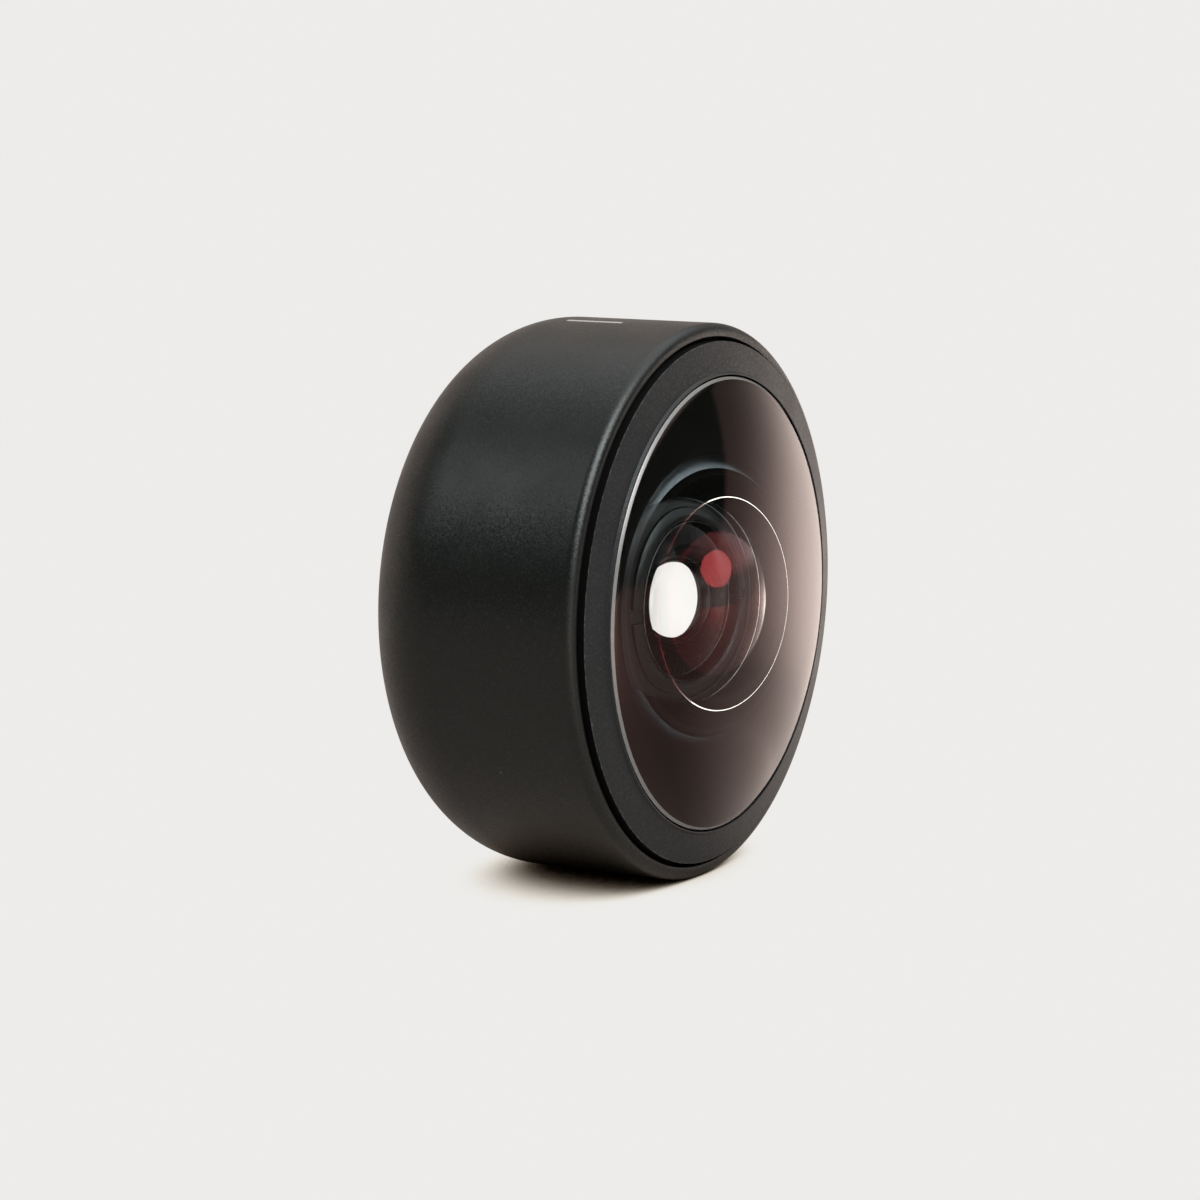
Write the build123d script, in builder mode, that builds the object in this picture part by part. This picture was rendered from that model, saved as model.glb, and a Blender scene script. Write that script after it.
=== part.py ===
"""Fisheye lens that clips over a phone's camera, standing on its rim.

Frame: +Z up, the optical axis level, the glass facing -Y. The origin lies on the optical axis, in
the face that seats on the phone case. All sizes are millimetres.

Profiles are drawn as half sections: radius from the optical axis, and height in front of the plane
of the barrel's lip, so places inside the barrel have negative heights.
"""
import os
from math import sqrt

from build123d import *

# Front glass
GLASS_RADIUS = 17.9
GLASS_NECK_STEP = 0.85
GLASS_EDGE_HEIGHT = 3.8
GLASS_REAR_CHAMFER = 1.4
GROUND_BEVEL_WIDTH = 0.2
GROUND_BEVEL_DROP = 0.18
DOME_RIM_RISE = 1.27
DOME_RADIUS = 36.75
FRONT_THICKNESS = 2.62
FRONT_HOLLOW_RADIUS = 10.2

# Bezel, gasket and barrel
BEZEL_LIP_DEPTH = 0.5
BEZEL_RISE = 1.15
BEZEL_RIM_WIDTH = 0.12
BEZEL_RIM_HEIGHT = 0.35
BEZEL_RIM_DRAFT = 0.08
BEZEL_SHOULDER = 0.4
BEZEL_SKIRT_DEPTH = 2.6
GASKET_THICKNESS = 0.3
GROOVE_WIDTH = 0.3
GROOVE_DEPTH = 0.9
RIM_WALL = 1.9
LIP_WIDTH = 1.03
LIP_ROUND = 0.75
BARREL_WALL = 2.4
BACK_LAND = 0.25
HOUSING_WALL = 1.3
HOUSING_FILLET = 1.5

# Second element, a deep negative meniscus
SECOND_RADIUS = 8.2
SECOND_NECK_STEP = 0.6
SECOND_NECK_HEIGHT = 0.7
SECOND_EDGE_HEIGHT = 2.7
SECOND_THICKNESS = 2.0
SECOND_FRONT_CURVE = 19.4
SECOND_REAR_CURVE = 5.85

# Cemented doublet
DOUBLET_FRONT_RADIUS = 5.7
DOUBLET_FRONT_EDGE = 0.4
DOUBLET_FRONT_CURVE = 23.0
DOUBLET_CEMENT_CURVE = 10.0
DOUBLET_REAR_STEP = 0.6
DOUBLET_REAR_EDGE = 2.55
DOUBLET_REAR_CURVE = 50.0
CEMENT_GAP = 0.02

# Rear element
REAR_EDGE_HEIGHT = 1.2
REAR_FRONT_CURVE = 14.1
REAR_REAR_CURVE = 68.0
REAR_AIR_GAP = 0.3

# Rings and stops between the elements
SECOND_RING_HEIGHT = 1.15
SPACER_HEIGHT = 1.35
SPACER_FLANGE = 0.8
SPACER_BLADE = 0.5
STOP_BLADE = 0.3
STOP_REACH = 0.5
REAR_RING_HEIGHT = 1.15
RING_MOUTH = 0.4
SPANNER_SLOT_WIDTH = 1.1
SPANNER_SLOT_DEPTH = 0.5

# Lens cell and its lock ring
THREAD_STEP = 0.65
CELL_WALL = 1.3
CELL_FLANGE = 1.2
CELL_WEB = 1.0
TAIL_WALL = 1.0
LOCK_RING_HEIGHT = 1.3
LOCK_RING_WIDTH = 3.0
LOCK_RING_SLOTS = 4
SEAT_WIDTH = 2.6
SEAL_SECTION = 0.45
SEAL_INSET = 0.5
SEAL_FLATS = 8

# Bayonet mount
WELL_RADIUS = 7.6
COLLAR_WALL = 1.0
CLAW_REACH = 1.4
CLAW_GAP = 1.7
CLAW_THICKNESS = 1.2
CLAW_ANGLE = 64
CLAW_COUNT = 2
CLAW_LEAD_IN = 0.3
DETENT_RADIUS = 0.55
LAND_RELIEF = 0.3
LAND_WIDTH = 2.8
LAND_HEIGHT = 0.2
PLATE_THICKNESS = 1.6
PLATE_PROUD = 0.2
SPIGOT_WIDTH = 1.2
SPIGOT_HEIGHT = 0.6
BAFFLE_WALL = 0.65
BAFFLE_STEPS = 6
BAFFLE_FLANGE_WIDTH = 0.8
BAFFLE_FLANGE = 0.3

# Screws through the mount and the barrel's floor into the housing
SCREW_COUNT = 3
SCREW_RADIUS = 0.6
SCREW_HEAD_RADIUS = 1.0
SCREW_HEAD_RIM = 0.12
SCREW_BITE = 2.6
SCREW_SUNK = 0.05
SCREW_EDGE = 1.35
SCREW_THREAD_FIT = 0.02

# Clearances
FIT = 0.05
THREAD_FIT = 0.07
GLASS_FIT = 0.1
AIR = 0.15
TAIL_GAP = 1.22


def sag(curve, radius):
    """Height of a spherical cap of the given radius of curvature."""
    return curve - sqrt(curve**2 - radius**2)


def cap_radius(curve, height):
    """Rim radius of a spherical cap of the given height."""
    return sqrt(curve**2 - (curve - height) ** 2)


def corner_radius(leg):
    """Radius of the circle that touches both walls of a square corner and a chamfer across it."""
    return leg / (2 + sqrt(2))


# Front glass: heights from its flange down to its flat back, and its two curves
flange_top = -BEZEL_LIP_DEPTH - GASKET_THICKNESS
front_seat = flange_top - GLASS_EDGE_HEIGHT
neck_radius = GLASS_RADIUS - GLASS_NECK_STEP
dome_rim_radius = neck_radius - GROUND_BEVEL_WIDTH
dome_apex = DOME_RIM_RISE + sag(DOME_RADIUS, dome_rim_radius)
hollow_apex = dome_apex - FRONT_THICKNESS
hollow_rim_radius = cap_radius(FRONT_HOLLOW_RADIUS, hollow_apex - front_seat)

# Barrel and bezel radii, each outside the glass
glass_bore_radius = GLASS_RADIUS + GLASS_FIT
rim_radius = glass_bore_radius + RIM_WALL
lip_bore_radius = rim_radius + THREAD_FIT
barrel_radius = lip_bore_radius + LIP_WIDTH
bezel_radius = lip_bore_radius - GROOVE_WIDTH
bezel_bore_radius = neck_radius + AIR
bezel_rim_radius = bezel_bore_radius + BEZEL_RIM_WIDTH
housing_rim_top = -BEZEL_SKIRT_DEPTH - AIR

# Cell flange, lock ring and pocket behind the glass
pocket_radius = glass_bore_radius - SEAT_WIDTH
lock_ring_front = front_seat - 2 * AIR
cell_flange_front = lock_ring_front - LOCK_RING_HEIGHT
pocket_floor = cell_flange_front - CELL_FLANGE
cell_flange_radius = pocket_radius - THREAD_FIT
lock_ring_inner_radius = cell_flange_radius - LOCK_RING_WIDTH
corner_seal_section = corner_radius(GLASS_FIT + GLASS_REAR_CHAMFER)

# Second element, hung from its retaining ring, which stops just behind the front glass
second_ring_front = front_seat - AIR
second_flange_top = second_ring_front - SECOND_RING_HEIGHT
head_front = second_ring_front - AIR
second_neck_radius = SECOND_RADIUS - SECOND_NECK_STEP
second_rim = second_flange_top + SECOND_NECK_HEIGHT
second_apex = second_rim + sag(SECOND_FRONT_CURVE, second_neck_radius)
second_back = second_flange_top - SECOND_EDGE_HEIGHT
second_hollow_apex = second_apex - SECOND_THICKNESS
second_hollow_radius = cap_radius(SECOND_REAR_CURVE, second_hollow_apex - second_back)

# Doublet: the front element lies in the hollow face of the wider rear one
doublet_radius = DOUBLET_FRONT_RADIUS + DOUBLET_REAR_STEP
doublet_top = second_back - SPACER_HEIGHT
cement_apex = doublet_top - sag(DOUBLET_CEMENT_CURVE, DOUBLET_FRONT_RADIUS)
socket_curve = DOUBLET_CEMENT_CURVE + CEMENT_GAP
socket_radius = cap_radius(socket_curve, doublet_top - cement_apex + CEMENT_GAP)
doublet_front_rim = doublet_top + DOUBLET_FRONT_EDGE
doublet_front_apex = doublet_front_rim + sag(DOUBLET_FRONT_CURVE, DOUBLET_FRONT_RADIUS)
doublet_back = doublet_top - DOUBLET_REAR_EDGE
doublet_back_apex = doublet_back - sag(DOUBLET_REAR_CURVE, DOUBLET_FRONT_RADIUS)
stop_radius = DOUBLET_FRONT_RADIUS - STOP_REACH

# Rear element, whose dome stands through the cell's web to just behind the doublet
rear_clear_radius = DOUBLET_FRONT_RADIUS
rear_apex = doublet_back_apex - REAR_AIR_GAP
web_back = rear_apex - sag(REAR_FRONT_CURVE, rear_clear_radius)
web_front = web_back + CELL_WEB
rear_back = web_back - REAR_EDGE_HEIGHT
rear_back_apex = rear_back - sag(REAR_REAR_CURVE, rear_clear_radius)
rear_ring_back = rear_back - REAR_RING_HEIGHT
cell_back = rear_ring_back - AIR

# Bores of the cell and the radii of its outside
second_bore_radius = SECOND_RADIUS + FIT
second_thread_radius = second_bore_radius + THREAD_STEP
doublet_bore_radius = doublet_radius + FIT
rear_thread_radius = doublet_bore_radius + THREAD_STEP
head_radius = second_thread_radius + CELL_WALL
cell_radius = second_bore_radius + CELL_WALL
tail_radius = rear_thread_radius + TAIL_WALL
spacer_floor = second_back - SPACER_FLANGE - AIR
cell_bore_radius = cell_radius + GLASS_FIT
tail_bore_radius = tail_radius + GLASS_FIT
tail_front = spacer_floor - CELL_WALL
tail_step = tail_front - (cell_radius - tail_radius) - AIR
seal_groove_radius = cell_bore_radius + SEAL_INSET + SEAL_SECTION

# Bayonet mount, whose land is the seating face
collar_radius = WELL_RADIUS + COLLAR_WALL
claw_radius = collar_radius + CLAW_REACH
land_inner_radius = claw_radius + LAND_RELIEF
plate_radius = land_inner_radius + LAND_WIDTH
recess_radius = plate_radius + FIT
screw_circle = land_inner_radius + LAND_WIDTH / 2
spigot_radius = collar_radius + SPIGOT_WIDTH
plate_front = cell_back - TAIL_GAP
seat = plate_front - PLATE_THICKNESS
collar_back = seat - CLAW_GAP - CLAW_THICKNESS
spigot_front = plate_front + SPIGOT_HEIGHT
baffle_front = spigot_front + BAFFLE_FLANGE
baffle_outer_radius = WELL_RADIUS - FIT
baffle_mouth_radius = baffle_outer_radius - BAFFLE_WALL
baffle_mouth = collar_back + AIR
baffle_throat_radius = rear_clear_radius + 2 * AIR
countersink_radius = SCREW_HEAD_RADIUS + SCREW_SUNK + SCREW_HEAD_RIM
housing_tube_radius = screw_circle + SCREW_EDGE

# Barrel's length and rounded back
barrel_back = seat + PLATE_PROUD
back_round = barrel_radius - recess_radius - BACK_LAND
round_start = barrel_back + back_round
floor_front = barrel_back + BARREL_WALL
inner_round = back_round - BARREL_WALL
inner_radius = barrel_radius - BARREL_WALL
lip_bore_floor = pocket_floor

back_face = Plane(origin=(0, 0, 0), x_dir=(-1, 0, 0), z_dir=(0, 1, 0))
half_section = Plane(origin=(0, seat, 0), x_dir=(1, 0, 0), z_dir=(0, 0, -1))


def across(height):
    """Plane square to the optical axis at a height from the lip, facing forward, its Y axis up."""
    return Plane(origin=(0, seat - height, 0), x_dir=(1, 0, 0), z_dir=(0, -1, 0))


def cap_arc(apex, curve, radius, forward=True):
    """Arc of a spherical face from its apex on the axis to its rim, bulging forward or back."""
    turn = 1 if forward else -1
    middle = radius / 2
    ThreePointArc(
        (0, apex),
        (middle, apex - turn * sag(curve, middle)),
        (radius, apex - turn * sag(curve, radius)),
    )


def cut_spanner_slots(height, radius, amount, count=2):
    """Cuts radial slots for a spanner into the face at this height of the ring being built."""
    with BuildSketch(across(height)) as slots:
        with PolarLocations(radius, count):
            Rectangle(SPANNER_SLOT_WIDTH * 4, SPANNER_SLOT_WIDTH)
    extrude(slots.sketch, amount=amount, mode=Mode.SUBTRACT)


def finish(piece, label):
    """Names a finished piece and writes it."""
    piece.part.label = label
    export_step(piece.part, f"parts/{label}.step")


os.makedirs("parts", exist_ok=True)

# Outer barrel: a turned cup with a rounded back, its floor recessed and bored for the mount
with BuildPart() as outer_barrel:
    with BuildSketch(half_section):
        with BuildLine():
            Line((recess_radius, barrel_back), (barrel_radius - back_round, barrel_back))
            CenterArc((barrel_radius - back_round, round_start), back_round, -90, 90)
            Polyline(
                (barrel_radius, round_start),
                (barrel_radius, 0),
                (lip_bore_radius, 0),
                (lip_bore_radius, lip_bore_floor),
                (inner_radius, lip_bore_floor - (lip_bore_radius - inner_radius)),
                (inner_radius, round_start),
            )
            CenterArc((inner_radius - inner_round, round_start), inner_round, 0, -90)
            Polyline(
                (inner_radius - inner_round, floor_front),
                (spigot_radius + FIT, floor_front),
                (spigot_radius + FIT, plate_front),
                (recess_radius, plate_front),
                (recess_radius, barrel_back),
            )
        make_face()
    revolve(axis=Axis.Y)
    widest_edges = outer_barrel.edges().filter_by(GeomType.CIRCLE).group_by(SortBy.RADIUS)[-1]
    fillet(widest_edges.sort_by(Axis.Y)[0], LIP_ROUND)
    with BuildSketch(across(plate_front)):
        with PolarLocations(screw_circle, SCREW_COUNT, start_angle=90):
            Circle(SCREW_RADIUS + GLASS_FIT)
    extrude(amount=floor_front - plate_front, mode=Mode.SUBTRACT)
finish(outer_barrel, "outer_barrel")

# Inner housing: a funnel that seats the front glass and the cell, screwed to the barrel's floor
with BuildPart() as inner_housing:
    with BuildSketch(half_section):
        with BuildLine():
            Polyline(
                (glass_bore_radius, housing_rim_top),
                (rim_radius, housing_rim_top),
                (rim_radius, cell_flange_front),
                (pocket_radius + HOUSING_WALL, pocket_floor - HOUSING_WALL),
                (housing_tube_radius, pocket_floor - HOUSING_WALL),
                (housing_tube_radius, floor_front),
                (tail_bore_radius, floor_front),
                (tail_bore_radius, tail_step),
                (cell_bore_radius, tail_step),
                (cell_bore_radius, pocket_floor),
                (pocket_radius, pocket_floor),
                (pocket_radius, front_seat),
                (glass_bore_radius, front_seat),
                close=True,
            )
        make_face()
        neck = vertices().sort_by_distance((housing_tube_radius, pocket_floor - HOUSING_WALL))[0]
        fillet(neck, HOUSING_FILLET)
    revolve(axis=Axis.Y)
    with BuildSketch(half_section):
        with Locations((seal_groove_radius, pocket_floor - SEAL_SECTION)):
            Rectangle(2 * SEAL_SECTION + GLASS_FIT, 2 * SEAL_SECTION)
    revolve(axis=Axis.Y, mode=Mode.SUBTRACT)
    with BuildSketch(across(floor_front)):
        with PolarLocations(screw_circle, SCREW_COUNT, start_angle=90):
            Circle(SCREW_RADIUS + SCREW_THREAD_FIT)
    extrude(amount=SCREW_BITE + 2 * AIR, mode=Mode.SUBTRACT)
finish(inner_housing, "inner_housing")

# Bezel ring: a shallow cone with a raised rim round the glass, over a skirt threaded into the barrel
with BuildPart() as front_bezel_ring:
    with BuildSketch(half_section):
        with BuildLine():
            Polyline(
                (bezel_bore_radius, -BEZEL_LIP_DEPTH),
                (bezel_bore_radius, BEZEL_RISE),
                (bezel_rim_radius, BEZEL_RISE),
                (bezel_rim_radius + BEZEL_RIM_DRAFT, BEZEL_RISE - BEZEL_RIM_HEIGHT),
                (bezel_radius, BEZEL_SHOULDER),
                (bezel_radius, -GROOVE_DEPTH),
                (rim_radius, -GROOVE_DEPTH),
                (rim_radius, -BEZEL_SKIRT_DEPTH),
                (glass_bore_radius, -BEZEL_SKIRT_DEPTH),
                (glass_bore_radius, -BEZEL_LIP_DEPTH),
                close=True,
            )
        make_face()
    revolve(axis=Axis.Y)
finish(front_bezel_ring, "front_bezel_ring")

# Gasket between the bezel's lip and the flange of the front glass
with BuildPart() as front_gasket:
    with BuildSketch(half_section):
        with BuildLine():
            Polyline(
                (neck_radius + FIT, flange_top),
                (GLASS_RADIUS, flange_top),
                (GLASS_RADIUS, -BEZEL_LIP_DEPTH),
                (neck_radius + FIT, -BEZEL_LIP_DEPTH),
                close=True,
            )
        make_face()
    revolve(axis=Axis.Y)
finish(front_gasket, "front_gasket")

# Front glass: a wide dome over a deep, nearly hemispherical hollow
with BuildPart() as front_element:
    with BuildSketch(half_section):
        with BuildLine():
            Line((0, hollow_apex), (0, dome_apex))
            cap_arc(dome_apex, DOME_RADIUS, dome_rim_radius)
            Polyline(
                (dome_rim_radius, DOME_RIM_RISE),
                (neck_radius, DOME_RIM_RISE - GROUND_BEVEL_DROP),
                (neck_radius, flange_top),
                (GLASS_RADIUS, flange_top),
                (GLASS_RADIUS, front_seat + GLASS_REAR_CHAMFER),
                (GLASS_RADIUS - GLASS_REAR_CHAMFER, front_seat),
                (hollow_rim_radius, front_seat),
            )
            cap_arc(hollow_apex, FRONT_HOLLOW_RADIUS, hollow_rim_radius)
        make_face()
    revolve(axis=Axis.Y)
finish(front_element, "front_element")

# Rubber ring pressed into the corner of the glass seat, with flats on the seat, its wall and the
# glass chamfer
with BuildPart() as front_seal_ring:
    with BuildSketch(half_section):
        with Locations((glass_bore_radius - corner_seal_section, front_seat + corner_seal_section)):
            RegularPolygon(corner_seal_section, SEAL_FLATS, major_radius=False, rotation=180 / SEAL_FLATS)
    revolve(axis=Axis.Y)
finish(front_seal_ring, "front_seal_ring")

# Lens cell: a stepped tube that holds every element behind the front glass
with BuildPart() as lens_cell:
    with BuildSketch(half_section):
        with BuildLine():
            Polyline(
                (second_thread_radius, head_front),
                (head_radius, head_front),
                (head_radius, cell_flange_front),
                (cell_flange_radius, cell_flange_front),
                (cell_flange_radius, pocket_floor),
                (cell_radius, pocket_floor),
                (cell_radius, tail_front),
                (tail_radius, tail_front - (cell_radius - tail_radius)),
                (tail_radius, cell_back),
                (rear_thread_radius, cell_back),
                (rear_thread_radius, rear_back + AIR),
                (doublet_bore_radius, rear_back + AIR),
                (doublet_bore_radius, web_back),
                (rear_clear_radius + FIT, web_back),
                (rear_clear_radius + FIT, web_front),
                (doublet_bore_radius, web_front),
                (doublet_bore_radius, spacer_floor),
                (second_bore_radius, spacer_floor),
                (second_bore_radius, second_flange_top - AIR),
                (second_thread_radius, second_flange_top - AIR),
                close=True,
            )
        make_face()
    revolve(axis=Axis.Y)
finish(lens_cell, "lens_cell")

# Rubber ring pressed flat between its groove and the cell's flange
with BuildPart() as cell_seal_ring:
    with BuildSketch(half_section):
        with Locations((seal_groove_radius, pocket_floor - SEAL_SECTION)):
            RegularPolygon(SEAL_SECTION, SEAL_FLATS, major_radius=False, rotation=180 / SEAL_FLATS)
    revolve(axis=Axis.Y)
finish(cell_seal_ring, "cell_seal_ring")

# Lock ring: threaded into the housing's pocket, over the cell's flange
with BuildPart() as cell_lock_ring:
    with BuildSketch(half_section):
        with BuildLine():
            Polyline(
                (lock_ring_inner_radius, cell_flange_front),
                (cell_flange_radius, cell_flange_front),
                (cell_flange_radius, lock_ring_front),
                (lock_ring_inner_radius, lock_ring_front),
                close=True,
            )
        make_face()
    revolve(axis=Axis.Y)
    cut_spanner_slots(lock_ring_front, lock_ring_inner_radius, -SPANNER_SLOT_DEPTH, LOCK_RING_SLOTS)
finish(cell_lock_ring, "cell_lock_ring")

# Second element: a deep negative meniscus, stepped at the front for its retaining ring
with BuildPart() as second_element:
    with BuildSketch(half_section):
        with BuildLine():
            Line((0, second_hollow_apex), (0, second_apex))
            cap_arc(second_apex, SECOND_FRONT_CURVE, second_neck_radius)
            Polyline(
                (second_neck_radius, second_rim),
                (second_neck_radius, second_flange_top),
                (SECOND_RADIUS, second_flange_top),
                (SECOND_RADIUS, second_back),
                (second_hollow_radius, second_back),
            )
            cap_arc(second_hollow_apex, SECOND_REAR_CURVE, second_hollow_radius)
        make_face()
    revolve(axis=Axis.Y)
finish(second_element, "second_element")

# Retaining ring of the second element, with its mouth opened to the glass
with BuildPart() as second_element_ring:
    with BuildSketch(half_section):
        with BuildLine():
            Polyline(
                (second_neck_radius + GLASS_FIT, second_flange_top),
                (second_thread_radius - THREAD_FIT, second_flange_top),
                (second_thread_radius - THREAD_FIT, second_ring_front),
                (second_neck_radius + GLASS_FIT + RING_MOUTH, second_ring_front),
                (second_neck_radius + GLASS_FIT, second_ring_front - RING_MOUTH),
                close=True,
            )
        make_face()
    revolve(axis=Axis.Y)
    cut_spanner_slots(second_ring_front, second_thread_radius, -SPANNER_SLOT_DEPTH)
finish(second_element_ring, "second_element_ring")

# Spacer between the second element and the doublet, bladed to stop stray light
with BuildPart() as baffle_spacer:
    with BuildSketch(half_section):
        with BuildLine():
            Polyline(
                (second_hollow_radius + FIT, second_back),
                (SECOND_RADIUS, second_back),
                (SECOND_RADIUS, second_back - SPACER_FLANGE),
                (doublet_radius, second_back - SPACER_FLANGE),
                (doublet_radius, doublet_top),
                (DOUBLET_FRONT_RADIUS + FIT, doublet_top),
                (DOUBLET_FRONT_RADIUS + FIT, second_back - SPACER_BLADE),
                (second_hollow_radius + FIT, second_back - SPACER_BLADE),
                close=True,
            )
        make_face()
    revolve(axis=Axis.Y)
finish(baffle_spacer, "baffle_spacer")

# Front half of the doublet, convex on both faces
with BuildPart() as doublet_front_element:
    with BuildSketch(half_section):
        with BuildLine():
            Line((0, cement_apex), (0, doublet_front_apex))
            cap_arc(doublet_front_apex, DOUBLET_FRONT_CURVE, DOUBLET_FRONT_RADIUS)
            Line((DOUBLET_FRONT_RADIUS, doublet_front_rim), (DOUBLET_FRONT_RADIUS, doublet_top))
            cap_arc(cement_apex, DOUBLET_CEMENT_CURVE, DOUBLET_FRONT_RADIUS, forward=False)
        make_face()
    revolve(axis=Axis.Y)
finish(doublet_front_element, "doublet_front_element")

# Rear half of the doublet, wider, so that it alone is clamped
with BuildPart() as doublet_rear_element:
    with BuildSketch(half_section):
        with BuildLine():
            Line((0, doublet_back_apex), (0, cement_apex - CEMENT_GAP))
            cap_arc(cement_apex - CEMENT_GAP, socket_curve, socket_radius, forward=False)
            Polyline(
                (socket_radius, doublet_top),
                (doublet_radius, doublet_top),
                (doublet_radius, doublet_back),
                (DOUBLET_FRONT_RADIUS, doublet_back),
            )
            cap_arc(doublet_back_apex, DOUBLET_REAR_CURVE, DOUBLET_FRONT_RADIUS, forward=False)
        make_face()
    revolve(axis=Axis.Y)
finish(doublet_rear_element, "doublet_rear_element")

# Aperture stop: a thin blade on a rim that spaces the doublet from the cell's web
with BuildPart() as aperture_stop:
    with BuildSketch(half_section):
        with BuildLine():
            Polyline(
                (stop_radius, web_front),
                (doublet_radius, web_front),
                (doublet_radius, doublet_back),
                (DOUBLET_FRONT_RADIUS + FIT, doublet_back),
                (DOUBLET_FRONT_RADIUS + FIT, web_front + STOP_BLADE),
                (stop_radius + STOP_BLADE, web_front + STOP_BLADE),
                close=True,
            )
        make_face()
    revolve(axis=Axis.Y)
finish(aperture_stop, "aperture_stop")

# Rear element, loaded from behind against the cell's web
with BuildPart() as rear_element:
    with BuildSketch(half_section):
        with BuildLine():
            Line((0, rear_back_apex), (0, rear_apex))
            cap_arc(rear_apex, REAR_FRONT_CURVE, rear_clear_radius)
            Polyline(
                (rear_clear_radius, web_back),
                (doublet_radius, web_back),
                (doublet_radius, rear_back),
                (rear_clear_radius, rear_back),
            )
            cap_arc(rear_back_apex, REAR_REAR_CURVE, rear_clear_radius, forward=False)
        make_face()
    revolve(axis=Axis.Y)
finish(rear_element, "rear_element")

# Retaining ring of the rear element, slotted on its back face
with BuildPart() as rear_retaining_ring:
    with BuildSketch(half_section):
        with BuildLine():
            Polyline(
                (rear_clear_radius + GLASS_FIT, rear_back),
                (rear_thread_radius - THREAD_FIT, rear_back),
                (rear_thread_radius - THREAD_FIT, rear_ring_back),
                (rear_clear_radius + GLASS_FIT + RING_MOUTH, rear_ring_back),
                (rear_clear_radius + GLASS_FIT, rear_ring_back + RING_MOUTH),
                close=True,
            )
        make_face()
    revolve(axis=Axis.Y)
    cut_spanner_slots(rear_ring_back, rear_thread_radius, SPANNER_SLOT_DEPTH)
finish(rear_retaining_ring, "rear_retaining_ring")

# Bayonet mount: a countersunk plate with a raised land, and a collar with claws behind it
with BuildPart() as bayonet_mount:
    with BuildSketch(half_section):
        with BuildLine():
            Polyline(
                (WELL_RADIUS, spigot_front),
                (spigot_radius, spigot_front),
                (spigot_radius, plate_front),
                (plate_radius, plate_front),
                (plate_radius, seat),
                (land_inner_radius, seat),
                (land_inner_radius, seat + LAND_HEIGHT),
                (collar_radius, seat + LAND_HEIGHT),
                (collar_radius, collar_back),
                (WELL_RADIUS, collar_back),
                close=True,
            )
        make_face()
    revolve(axis=Axis.Y)
    for index in range(CLAW_COUNT):
        claw_middle = index * 360 / CLAW_COUNT
        with BuildSketch(half_section.rotated((0, claw_middle - CLAW_ANGLE / 2, 0))):
            with BuildLine():
                Polyline(
                    (WELL_RADIUS + COLLAR_WALL / 2, collar_back),
                    (claw_radius - CLAW_LEAD_IN, collar_back),
                    (claw_radius, collar_back + CLAW_LEAD_IN),
                    (claw_radius, seat - CLAW_GAP),
                    (WELL_RADIUS + COLLAR_WALL / 2, seat - CLAW_GAP),
                    close=True,
                )
            make_face()
        revolve(axis=Axis.Y, revolution_arc=CLAW_ANGLE)
    with BuildSketch(across(collar_back)):
        with PolarLocations(claw_radius, CLAW_COUNT):
            Circle(DETENT_RADIUS)
    extrude(amount=CLAW_THICKNESS, mode=Mode.SUBTRACT)
    with Locations(back_face):
        with PolarLocations(screw_circle, SCREW_COUNT, start_angle=90):
            CounterSinkHole(SCREW_RADIUS + GLASS_FIT, countersink_radius)
finish(bayonet_mount, "bayonet_mount")

# Rear baffle: a stepped black cone that lines the collar's bore, hung by its flange
with BuildPart() as rear_baffle:
    step_width = (baffle_mouth_radius - baffle_throat_radius) / BAFFLE_STEPS
    step_height = (baffle_front - baffle_mouth) / BAFFLE_STEPS
    steps = [(baffle_mouth_radius, baffle_mouth)]
    for index in range(BAFFLE_STEPS):
        height = baffle_mouth + (index + 1) * step_height
        steps.append((baffle_mouth_radius - index * step_width, height))
        steps.append((baffle_mouth_radius - (index + 1) * step_width, height))
    with BuildSketch(half_section):
        with BuildLine():
            Polyline(
                *steps[:-1],
                (WELL_RADIUS + BAFFLE_FLANGE_WIDTH, baffle_front),
                (WELL_RADIUS + BAFFLE_FLANGE_WIDTH, spigot_front),
                (baffle_outer_radius, spigot_front),
                (baffle_outer_radius, baffle_mouth),
                close=True,
            )
        make_face()
    revolve(axis=Axis.Y)
finish(rear_baffle, "rear_baffle")

# Screws: countersunk heads just below the land, shanks through the barrel's floor
with BuildPart() as bayonet_screws:
    head_back = seat + SCREW_SUNK
    cone_back = head_back + SCREW_HEAD_RIM
    with BuildSketch(across(head_back)):
        with PolarLocations(screw_circle, SCREW_COUNT, start_angle=90):
            Circle(SCREW_HEAD_RADIUS)
    extrude(amount=SCREW_HEAD_RIM)
    with BuildSketch(across(cone_back)):
        with PolarLocations(screw_circle, SCREW_COUNT, start_angle=90):
            Circle(SCREW_HEAD_RADIUS)
    extrude(amount=SCREW_HEAD_RADIUS - SCREW_RADIUS, taper=45)
    with BuildSketch(across(cone_back)):
        with PolarLocations(screw_circle, SCREW_COUNT, start_angle=90):
            Circle(SCREW_RADIUS)
    extrude(amount=floor_front + SCREW_BITE - cone_back)
finish(bayonet_screws, "bayonet_screws")
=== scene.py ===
"""Looks of the phone fisheye lens: a matte black turned barrel round a stack of coated glass.

Turned pieces are drawn as half sections in millimetres: radius from the optical axis, and height in
front of the plane of the barrel's lip, so places inside the barrel have negative heights. The lens
stands on its rim, with its glass facing -Y and +Z up.
"""
from functools import reduce
from math import asin, cos, degrees, hypot, inf, pi, radians, sin, sqrt

import bmesh
import bpy
from mathutils import Matrix, Vector


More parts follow.
